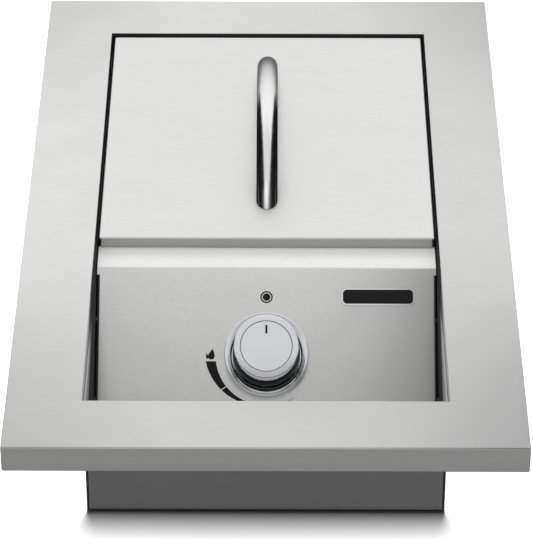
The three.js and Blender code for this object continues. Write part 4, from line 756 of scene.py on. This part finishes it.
def fold(piece, sheet, widest):
    """Rounds the marked folds and gives the sheet its thickness on the inside."""
    apply_modifier(piece, "BEVEL", width=widest, segments=FOLD_STEPS, limit_method="WEIGHT")
    edit_all()
    bpy.ops.mesh.remove_doubles(threshold=CLOSE / 10)
    bpy.ops.mesh.normals_make_consistent(inside=False)
    apply_modifier(piece, "SOLIDIFY", thickness=sheet, offset=-1.0, use_even_offset=True)


# %% Fold the trim
TRIM_BORDER = 52.4 * MM
TRIM_SHEET = 1.2 * MM
TRIM_LIP = 12 * MM
TRIM_FLANGE = 20 * MM
TRIM_BEND = 1.2 * MM


def on_outline(middle, edge):
    return abs(abs(middle.x) - trim_high.x) < CLOSE or abs(abs(middle.y) - trim_high.y) < CLOSE


def on_opening(middle, edge):
    inside_x = abs(middle.x) < trim_high.x - TRIM_BORDER + CLOSE
    return inside_x and abs(middle.y) < trim_high.y - TRIM_BORDER + CLOSE


def on_top_fold(middle, edge):
    return at_height(middle, trim_high.z) and (on_outline(middle, edge) or on_opening(middle, edge))


def on_lip_fold(middle, edge):
    return at_height(middle, trim_low.z) and on_outline(middle, edge)


trim = add_sheet("trim_shell", trim_low, trim_high)
bpy.ops.mesh.inset(thickness=TRIM_BORDER, use_even_offset=True)
bpy.ops.mesh.delete(type="FACE")
pick("EDGE", on_outline)
extrude((0, 0, trim_low.z - trim_high.z))
extrude()
lip_shares = ((trim_high.x - TRIM_LIP) / trim_high.x, (trim_high.y - TRIM_LIP) / trim_high.y, 1)
bpy.ops.transform.resize(value=lip_shares, center_override=(0, 0, 0))
pick("EDGE", on_opening)
extrude((0, 0, -TRIM_FLANGE))
for folds in (on_top_fold, on_lip_fold, rises):
    weigh(TRIM_BEND, TRIM_BEND, folds)
fold(trim, TRIM_SHEET, TRIM_BEND)
dress(settle(trim), "root", "satin_steel", trim_steel, "trim_frame")

# %% [markdown]
# ## The lid
#
# The lid is a shallow folded tray of the same steel. It is made in the same way: a plane whose outline is
# extruded down, rounded and thickened inwards. Its skirt stands close over the dark gap, so round the bend
# its steel is painted a darker grey: painted shade.

# %% Fold the lid
LID_SHEET = 1.2 * MM
LID_BEND = 1.7 * MM
LID_CORNER = 2.4 * MM
LID_SKIRT_UNSHADED_SHARE = 0.22
SKIRT_SHADE_GREY = (0.3, 0.3, 0.3)

lid_low, lid_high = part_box("lid_panel")
lid = add_sheet("lid_shell", lid_low, lid_high)
extrude((0, 0, lid_low.z - lid_high.z))
pick("FACE", lambda middle, face: at_height(middle, lid_low.z))
bpy.ops.mesh.delete(type="FACE")
weigh(LID_BEND, LID_CORNER, lambda middle, edge: at_height(middle, lid_high.z))
weigh(LID_CORNER, LID_CORNER, rises)
fold(lid, LID_SHEET, LID_CORNER)
lid_steel, tree, shader = brushed_steel("lid_steel", **SATIN_LOOK)
height = axes_of(tree, "Object")["Z"]
# Painted shade: the skirt's colour falls to a darker grey round the bend.
skirt_unshaded = ranged(tree, height, lid_high.z - LID_BEND, lid_high.z, LID_SKIRT_UNSHADED_SHARE, 1.0)
recolour(tree, shader, skirt_unshaded, SKIRT_SHADE_GREY)
dress(settle(lid), "lid", "satin_steel", lid_steel, "lid_panel")

# %% [markdown]
# ## The control panel
#
# The panel is bent from one sheet: lip, floor, slope, ledge and rear flange, with its sides folded back.
# Its solid has all the holes in the right places but sharp bends. So its mesh is copied, the triangles are
# merged into flat faces again, and the ledge's bends are bevelled. That is quicker and truer than drawing
# every hole anew.

# %% Bend the panel
PANEL_BEND = 2.2 * MM
PANEL_BEND_STEPS = 6
FLAT_ANGLE = math.radians(0.5)
SLIGHT = math.radians(5)


def copy_of(node, name):
    """A new object with a merged copy of a solid's mesh, in edit mode with all of it selected."""
    deselect_all()
    piece = bpy.data.objects.new(name, NODES[node].data.copy())
    bpy.context.scene.collection.objects.link(piece)
    piece.select_set(True)
    bpy.context.view_layer.objects.active = piece
    edit_all()
    bpy.ops.mesh.remove_doubles(threshold=CLOSE / 10)
    return piece


def on_ledge_bend(middle, edge):
    """Whether an edge is a bend along the ledge, away from the panel's sides and its rear flange."""
    if not at_height(middle, panel_high.z) or edge.calc_face_angle(0) < SLIGHT:
        return False
    level_run = abs(edge.verts[0].co.y - edge.verts[1].co.y) < CLOSE
    return level_run and abs(middle.x) < panel_high.x / 2 and abs(middle.y - panel_high.y) > PANEL_BEND


panel = copy_of("control_panel", "panel_sheet")
bpy.ops.mesh.dissolve_limited(angle_limit=FLAT_ANGLE)
print("ledge bends", pick("EDGE", on_ledge_bend))
bpy.ops.mesh.bevel(offset=PANEL_BEND, segments=PANEL_BEND_STEPS)
dress(settle(panel), "root", "satin_steel", panel_steel, "control_panel")

# %% [markdown]
# ## The bow handle
#
# The handle is a round rod bent to one arc, with both ends cut flat to sit on the lid. A circle spun about
# the arc's centre gives the rod, and a bisect along the lid's face cuts both ends at once. A curve with a
# round bevel would do as well, but its ends would still have to be cut. The flanks are nearly black in
# front and clear up towards the back: a painted reflection, darkened into their steel by place.

# %% Bend the handle
HANDLE_DIAMETER = 15.9 * MM
HANDLE_CHORD = 187 * MM
HANDLE_RISE = 35.44 * MM
HANDLE_SEAT = 0.3 * MM
ROD_SIDES = 64
BOW_STEPS = 120

bow_radius = ((HANDLE_CHORD / 2) ** 2 + HANDLE_RISE ** 2) / (2 * HANDLE_RISE)
bow_centre = Vector((0, (lid_low.y + lid_high.y) / 2, lid_high.z + HANDLE_RISE - bow_radius))
bow_reach = math.asin(HANDLE_CHORD / 2 / bow_radius) + HANDLE_DIAMETER / bow_radius
bow_start = bow_centre + Vector((0, -math.sin(bow_reach), math.cos(bow_reach))) * bow_radius
deselect_all()
bpy.ops.mesh.primitive_circle_add(vertices=ROD_SIDES, radius=HANDLE_DIAMETER / 2, location=bow_start,
                                  rotation=(math.pi / 2 + bow_reach, 0, 0))
bow = added("bow_handle")
apply_place()
edit_all()
bpy.ops.mesh.spin(steps=BOW_STEPS, angle=2 * bow_reach, center=bow_centre, axis=(1, 0, 0))
bpy.ops.mesh.select_all(action="SELECT")
bpy.ops.mesh.bisect(plane_co=(0, 0, lid_high.z + HANDLE_SEAT), plane_no=(0, 0, 1), clear_inner=True,
                    use_fill=True)
bpy.ops.mesh.select_all(action="SELECT")
bpy.ops.mesh.normals_make_consistent(inside=False)
print("bow radius", round(bow_radius / MM, 1), "mm")

# %% Finish the handle
FLANK_START, FLANK_END = 0.25 * HANDLE_DIAMETER, 0.46 * HANDLE_DIAMETER
FLANK_FADE = 28 * MM
FLANK_FRONT, FLANK_BACK = 0.97, 0.0
FLANK_REFLECTION_BLACK = (0.02, 0.02, 0.022)
HANDLE_RIM_TINT = (0.15, 0.15, 0.15, 1.0)

rod_steel, tree, shader = brushed_steel("rod_steel", (0.92, 0.92, 0.92), 0.02, 0.01, 0.2, ROD_GRAIN)
shader.inputs["Specular Tint"].default_value = HANDLE_RIM_TINT
where = axes_of(tree, "Object")
flank = ranged(tree, math_node(tree, "ABSOLUTE", where["X"]), FLANK_START, FLANK_END, 0.0, 1.0, smooth=True)
fade_start = bow_centre.y - FLANK_FADE
fading = ranged(tree, where["Y"], fade_start, bow_centre.y, FLANK_FRONT, FLANK_BACK, smooth=True)
# Painted reflection: the flanks darken to near black in front.
painted_reflection = product(tree, flank, fading)
recolour(tree, shader, math_node(tree, "SUBTRACT", 1.0, painted_reflection), FLANK_REFLECTION_BLACK)
dress(settle(bow), "lid", "polished_steel", rod_steel, "lid_handle")

# %% [markdown]
# The rod's flanks face the side walls and would mirror them as bright lines. Light linking keeps a light
# off chosen pieces, so both walls leave the handle out and light the rest as before.

# %% Keep the bright walls out of the handle
wall_receivers = bpy.data.collections.new("wall_receivers")
wall_receivers.objects.link(bow)
wall_receivers.collection_objects[0].light_linking.link_state = "EXCLUDE"
for wall in walls:
    wall.light_linking.receiver_collection = wall_receivers
print("walls light all but", bow.name)

# %% [markdown]
# ## The knob and its bezel
#
# Both are turned parts. Extruding a circle again and again and scaling each new ring follows the profile,
# as a turner does. A spin would do as well, but it leaves a seam to close. They are built upright at the
# world's origin and then tilted onto the sloping panel.

# %% Helpers: turned pieces
TURN_SIDES = 128
EDGE_STEPS = 3
SHARP = math.radians(35)


def arc_points(centre, radius, start, end, steps):
    """Points of an arc in (radius, height). Its angles are in degrees."""
    points = []
    for step in range(steps + 1):
        angle = math.radians(start + (end - start) * step / steps)
        points.append((centre[0] + radius * math.cos(angle), centre[1] + radius * math.sin(angle)))
    return points


def turn(name, profile, closed, edge_radius):
    """Turns a profile of (radius, height) about Z and softens its sharp rings."""
    deselect_all()
    radius, height = profile[0]
    bpy.ops.mesh.primitive_circle_add(vertices=TURN_SIDES, radius=radius, location=(0, 0, height))
    piece = added(name)
    apply_place()
    edit_all()
    for next_radius, next_height in profile[1:] + (profile[:1] if closed else []):
        extrude((0, 0, next_height - height))
        share = next_radius / radius
        bpy.ops.transform.resize(value=(share, share, 1), center_override=(0, 0, next_height))
        radius, height = next_radius, next_height
    bpy.ops.mesh.select_all(action="SELECT")
    if closed:
        bpy.ops.mesh.remove_doubles(threshold=CLOSE / 2)
    else:
        for end in (profile[0], profile[-1]):
            pick("EDGE", lambda middle, edge: edge.is_boundary and at_height(middle, end[1]))
            bpy.ops.mesh.edge_face_add()
        bpy.ops.mesh.select_all(action="SELECT")
    bpy.ops.mesh.normals_make_consistent(inside=False)
    apply_modifier(piece, "BEVEL", width=edge_radius, segments=EDGE_STEPS, limit_method="ANGLE",
                   angle_limit=SHARP)
    return piece


# %% Find the knob's seat
JOINTS = {row["name"]: row for row in frame["record"]["behaviour"]["joints"]}
KNOB_CENTRE = Vector(JOINTS["knob_turn"]["pos_m"])
KNOB_AXIS = Vector(JOINTS["knob_turn"]["axis"]).normalized()
SLOPE = math.atan2(-KNOB_AXIS.y, KNOB_AXIS.z)
print("slope", round(math.degrees(SLOPE), 2), "degrees")


def seat_on_panel(piece):
    """Tilts an upright piece onto the sloping panel, about the knob's centre."""
    piece.rotation_euler = (SLOPE, 0, 0)
    piece.location = KNOB_CENTRE
    return settle(piece)


# %% Turn the bezel
BEZEL_RADIUS = 30.3 * MM
BEZEL_INNER = 25.6 * MM
BEZEL_HOLE = 16 * MM
BEZEL_LOW = 0.3 * MM
BEZEL_FLOOR = 1.8 * MM
BEZEL_TOP = 9.5 * MM
BEZEL_DISH = 0.6 * MM
BEZEL_EDGE = 0.6 * MM

bezel = turn("bezel_ring", [
    (BEZEL_HOLE, BEZEL_LOW),
    (BEZEL_RADIUS, BEZEL_LOW),
    (BEZEL_RADIUS, BEZEL_TOP),
    (BEZEL_INNER, BEZEL_TOP - BEZEL_DISH),
    (BEZEL_INNER, BEZEL_FLOOR),
    (BEZEL_HOLE, BEZEL_FLOOR),
], True, BEZEL_EDGE)
dress(seat_on_panel(bezel), "root", "chrome", FINISHES["chrome"], "knob_bezel")

# %% [markdown]
# The knob's profile runs from the stem's hole over the hub and the hollow inside to the flange, and up the
# waist, the bead, the groove and the rounded rim. The waist is black between bright rings, so its faces are
# noted while the knob still stands upright, and get the black plastic finish as a second material.

# %% Turn the knob's body
KNOB_LOW = 6.2 * MM
FLANGE_RADIUS, FLANGE_TOP = 24.4 * MM, 9.4 * MM
WAIST_RADIUS = 22.4 * MM
BEAD_RADIUS, BEAD_LOW, BEAD_TOP = 23.2 * MM, 19.6 * MM, 22.6 * MM
GROOVE = 0.8 * MM
RIM_RADIUS, RIM_LOW, RIM_INNER = 23.4 * MM, 24.2 * MM, 18.7 * MM
RIM_ROUND, RIM_SHOULDER, RIM_ROUND_END = 0.8 * MM, 29.7 * MM, 78
RIM_STEPS = 8
KNOB_TOP = 29.9 * MM
FACE_RECESS = 27.6 * MM
KNOB_DECK = 24.8 * MM
KNOB_INSIDE = 20.8 * MM
HUB_RADIUS, HUB_LOW = 6.5 * MM, 6.5 * MM
STEM_RADIUS, STEM_TOP = 4.3 * MM, 22.3 * MM
KNOB_EDGE = 0.35 * MM

shoulder = (RIM_RADIUS - RIM_ROUND, RIM_SHOULDER - RIM_ROUND)
knob = turn("knob_shell", [
    (STEM_RADIUS, STEM_TOP),
    (STEM_RADIUS, HUB_LOW),
    (HUB_RADIUS, HUB_LOW),
    (HUB_RADIUS, KNOB_DECK),
    (KNOB_INSIDE, KNOB_DECK),
    (KNOB_INSIDE, KNOB_LOW),
    (FLANGE_RADIUS, KNOB_LOW),
    (FLANGE_RADIUS, FLANGE_TOP),
    (WAIST_RADIUS, FLANGE_TOP + GROOVE),
    (WAIST_RADIUS, BEAD_LOW - GROOVE),
    (BEAD_RADIUS, BEAD_LOW),
    (BEAD_RADIUS, BEAD_TOP),
    (RIM_RADIUS - GROOVE, BEAD_TOP + GROOVE / 2),
    (RIM_RADIUS - GROOVE, RIM_LOW - GROOVE / 2),
    (RIM_RADIUS, RIM_LOW),
    *arc_points(shoulder, RIM_ROUND, 0, RIM_ROUND_END, RIM_STEPS),
    (RIM_INNER, KNOB_TOP),
    (RIM_INNER, FACE_RECESS),
], False, KNOB_EDGE)
waist = []
for side in knob.data.polygons:
    if FLANGE_TOP < side.center.z < BEAD_LOW and side.center.xy.length > KNOB_INSIDE + CLOSE:
        waist.append(side.index)
dress(seat_on_panel(knob), "knob", "chrome", FINISHES["chrome"], "knob_body")
knob.data.materials.append(FINISHES["black_plastic"])
for index in waist:
    knob.data.polygons[index].material_index = 1
print("waist faces", len(waist))

# %% Turn the knob's face
FACE_RADIUS = 18.4 * MM
FACE_LOW = 27.9 * MM
FACE_EDGE = 0.25 * MM

face = turn("knob_disc", [(FACE_RADIUS, FACE_LOW), (FACE_RADIUS, KNOB_TOP)], False, FACE_EDGE)
dress(seat_on_panel(face), "knob", "satin_cap", FINISHES["satin_cap"], "knob_face")

# %% [markdown]
# ## The return spring
#
# A coil spring in the valve's plug pushes the knob out again after the push at OFF. Its solid can't get
# shorter, so the stem would cut into it. Here a merged copy of its mesh takes the solid's place on the
# plug, with a mesh of its own.

spring = settle(copy_of("valve_spring", "return_spring"))
dress(spring, "plug", SLOTS["valve_spring"], FINISHES[SLOTS["valve_spring"]], "valve_spring")
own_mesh(spring)

# %% [markdown]
# ## The marks on the panel
#
# The marks are printed in black: a ring with a dot where the knob is OFF, a small flame at HIGH, and a
# wedge that tapers round to LOW. A texture could paint them, but a print a tenth of a millimetre thick, cut
# to shape, stays sharp from any distance. All are drawn flat, with the knob's centre as the origin and Y up
# the slope, and then seated as the knob was. The ring and the dot are circles. The others are walked: one
# short edge is extruded from row to row, wider or narrower each time.

# %% Make the printing ink
INK_THICKNESS = 0.1 * MM
INK_GLOSS = 0.2

ink = plain_finish("black_print", (0.009, 0.009, 0.01), 0.0, 0.6, 0.2, 900.0, 0.0)
ink.node_tree.nodes["Principled BSDF"].inputs["Specular IOR Level"].default_value = INK_GLOSS
print("ink made")

# %% Helpers: prints
FAR_LEFT = (-1.0, 0.0)


def lift_print(piece, height=0.0, body="root"):
    """Turns a flat outline's faces up, gives the print its thickness and seats it."""
    edit_all()
    bpy.ops.mesh.normals_make_consistent(inside=False)
    if bmesh.from_edit_mesh(piece.data).faces[:][0].normal.z < 0:
        bpy.ops.mesh.flip_normals()
    apply_modifier(piece, "SOLIDIFY", thickness=INK_THICKNESS, offset=1.0)
    for vertex in piece.data.vertices:
        vertex.co.z += height
    return dress(seat_on_panel(piece), body, "black_plastic", ink)


def disc(name, centre, radius, line=None):
    """A printed disc, or a ring where the width of its line is given."""
    deselect_all()
    bpy.ops.mesh.primitive_circle_add(vertices=TURN_SIDES // 2, radius=radius, fill_type="NGON",
                                      location=(centre[0], centre[1], 0))
    piece = added(name)
    apply_place()
    if line:
        edit_all()
        bpy.ops.mesh.inset(thickness=line)
        bpy.ops.mesh.delete(type="FACE")
        bpy.ops.object.mode_set(mode="OBJECT")
    return piece


def walk(name, rows):
    """A flat shape between pairs of points. One edge is extruded from each pair to the next."""
    deselect_all()
    bpy.ops.mesh.primitive_plane_add(size=1.0)
    piece = added(name)
    bpy.ops.object.mode_set(mode="EDIT")
    pick("VERT", lambda middle, vertex: middle.y > 0)
    bpy.ops.mesh.delete(type="VERT")
    bpy.ops.mesh.select_all(action="SELECT")
    before = FAR_LEFT
    for step, (first, second) in enumerate(rows):
        if step:
            extrude()
        mesh = bmesh.from_edit_mesh(piece.data)
        ends = [vertex for vertex in mesh.verts if vertex.select]
        ends.sort(key=lambda vertex: (vertex.co.xy - Vector(before)).length)
        ends[0].co = (*first, 0)
        ends[1].co = (*second, 0)
        before = first
        bmesh.update_edit_mesh(piece.data)
    bpy.ops.object.mode_set(mode="OBJECT")
    return piece


# %% Print the ring and the dot
OFF_UP = 44.4 * MM
OFF_RADIUS = 4.5 * MM
OFF_LINE = 1.0 * MM
OFF_DOT = 2.8 * MM

lift_print(disc("off_ring", (0, OFF_UP), OFF_RADIUS, OFF_LINE))
lift_print(disc("off_dot", (0, OFF_UP), OFF_DOT))

# %% [markdown]
# The wedge goes round the knob, so its rows point outwards from the knob's centre. A short table gives its
# width in millimetres at a few angles from OFF. It is cut once, as in the photograph, and its wide end is
# cut level.

# %% Print the wedge
WEDGE_INNER = 36.6 * MM
WEDGE_WIDTHS = [(96, 7.4), (116, 5.5), (147, 2.6), (180, 1.1), (213, 0.15)]
WEDGE_STEP = 3
WEDGE_CUT = (127.3, 128.3)


def wedge_width(turn_angle):
    """The wedge's width at an angle from OFF, in degrees anticlockwise, between the given widths."""
    for (start, wide), (end, narrow) in zip(WEDGE_WIDTHS, WEDGE_WIDTHS[1:]):
        if turn_angle <= end:
            return (wide + (narrow - wide) * (turn_angle - start) / (end - start)) * MM
    return WEDGE_WIDTHS[-1][1] * MM


def wedge_pair(turn_angle):
    turn_radians = math.radians(turn_angle)
    way = Vector((-math.sin(turn_radians), math.cos(turn_radians)))
    return way * WEDGE_INNER, way * (WEDGE_INNER + wedge_width(turn_angle))


def wedge_rows(start, end):
    steps = max(2, round((end - start) / WEDGE_STEP))
    return [wedge_pair(start + (end - start) * step / steps) for step in range(steps + 1)]


high_rows = wedge_rows(WEDGE_WIDTHS[0][0], WEDGE_CUT[0])
inner_end, outer_end = high_rows[0]
high_rows[0] = (inner_end, Vector((outer_end.x, inner_end.y)))
low_rows = wedge_rows(WEDGE_CUT[1], WEDGE_WIDTHS[-1][0])
lift_print(walk("scale_wedge_high", high_rows))
lift_print(walk("scale_wedge_low", low_rows))

# %% [markdown]
# The flame has two tongues. Half a sine wave, pushed down by a power, gives the width of a tongue that
# swells low and narrows to a tip, and its middle curls as it climbs.

# %% Print the flame
FLAME_PLACE = Vector((-39.8, 1.4)) * MM
FLAME_STEPS = 18
FLAME_LOWNESS, FLAME_FULLNESS, FLAME_CURL = 0.6, 0.9, 0.35
LEAST_WIDTH = 0.02 * MM


def tongue(name, foot, height, width, lean):
    """One tongue of flame, whose tip leans to one side."""
    rows = []
    for step in range(FLAME_STEPS + 1):
        climb = step / FLAME_STEPS
        swell = math.sin(math.pi * climb ** FLAME_LOWNESS) ** FLAME_FULLNESS
        half_width = Vector((width / 2 * swell + LEAST_WIDTH, 0))
        curl = lean * (climb ** 2 - FLAME_CURL * climb)
        middle = FLAME_PLACE + Vector((foot[0] + curl, foot[1] + height * climb))
        rows.append((middle - half_width, middle + half_width))
    lift_print(walk(name, rows))


tongue("flame_tall", (0.0, -4.0 * MM), 8.0 * MM, 4.8 * MM, 1.6 * MM)
tongue("flame_short", (-3.0 * MM, -3.4 * MM), 4.6 * MM, 1.6 * MM, -1.0 * MM)

# %% Print the knob's pointer
POINTER_WIDTH = 1.5 * MM
POINTER_START, POINTER_END = 9.2 * MM, 15.6 * MM
POINTER_STEPS = 6

pointer_rows = []
for step in range(POINTER_STEPS + 1):
    up = POINTER_START + (POINTER_END - POINTER_START) * step / POINTER_STEPS
    pointer_rows.append((Vector((-POINTER_WIDTH / 2, up)), Vector((POINTER_WIDTH / 2, up))))
lift_print(walk("knob_pointer", pointer_rows), KNOB_TOP, "knob")

# %% [markdown]
# ## The plate
#
# A small bare plate, dark with a bright border, sits at the panel's upper right. It is a cube with its
# corners rounded, whose top is inset for the border and pushed down for the dark field.

# %% Make the plate
PLATE_PLACE = Vector((81.0, 44.6)) * MM
PLATE_LENGTH, PLATE_HEIGHT = 53 * MM, 12.6 * MM
PLATE_THICKNESS = 1.0 * MM
PLATE_CORNER, PLATE_CORNER_STEPS = 4.0 * MM, 10
PLATE_BORDER = 1.0 * MM
PLATE_DEPTH = 0.3 * MM
UPWARD = 0.9

deselect_all()
bpy.ops.mesh.primitive_cube_add(size=1.0, location=(PLATE_PLACE.x, PLATE_PLACE.y, PLATE_THICKNESS / 2))
plate = added("bare_plate")
plate.scale = (PLATE_LENGTH, PLATE_HEIGHT, PLATE_THICKNESS)
apply_place()
bpy.ops.object.mode_set(mode="EDIT")
pick("EDGE", rises)
bpy.ops.mesh.bevel(offset=PLATE_CORNER, segments=PLATE_CORNER_STEPS)
pick("FACE", lambda middle, side: side.normal.z > UPWARD)
bpy.ops.mesh.inset(thickness=PLATE_BORDER)
extrude((0, 0, -PLATE_DEPTH))
plate_field = [side.index for side in bmesh.from_edit_mesh(plate.data).faces if side.select]
bpy.ops.object.mode_set(mode="OBJECT")
dress(seat_on_panel(plate), "root", "chrome", FINISHES["chrome"])
plate.data.materials.append(ink)
for index in plate_field:
    plate.data.polygons[index].material_index = 1
print("plate field faces", len(plate_field))
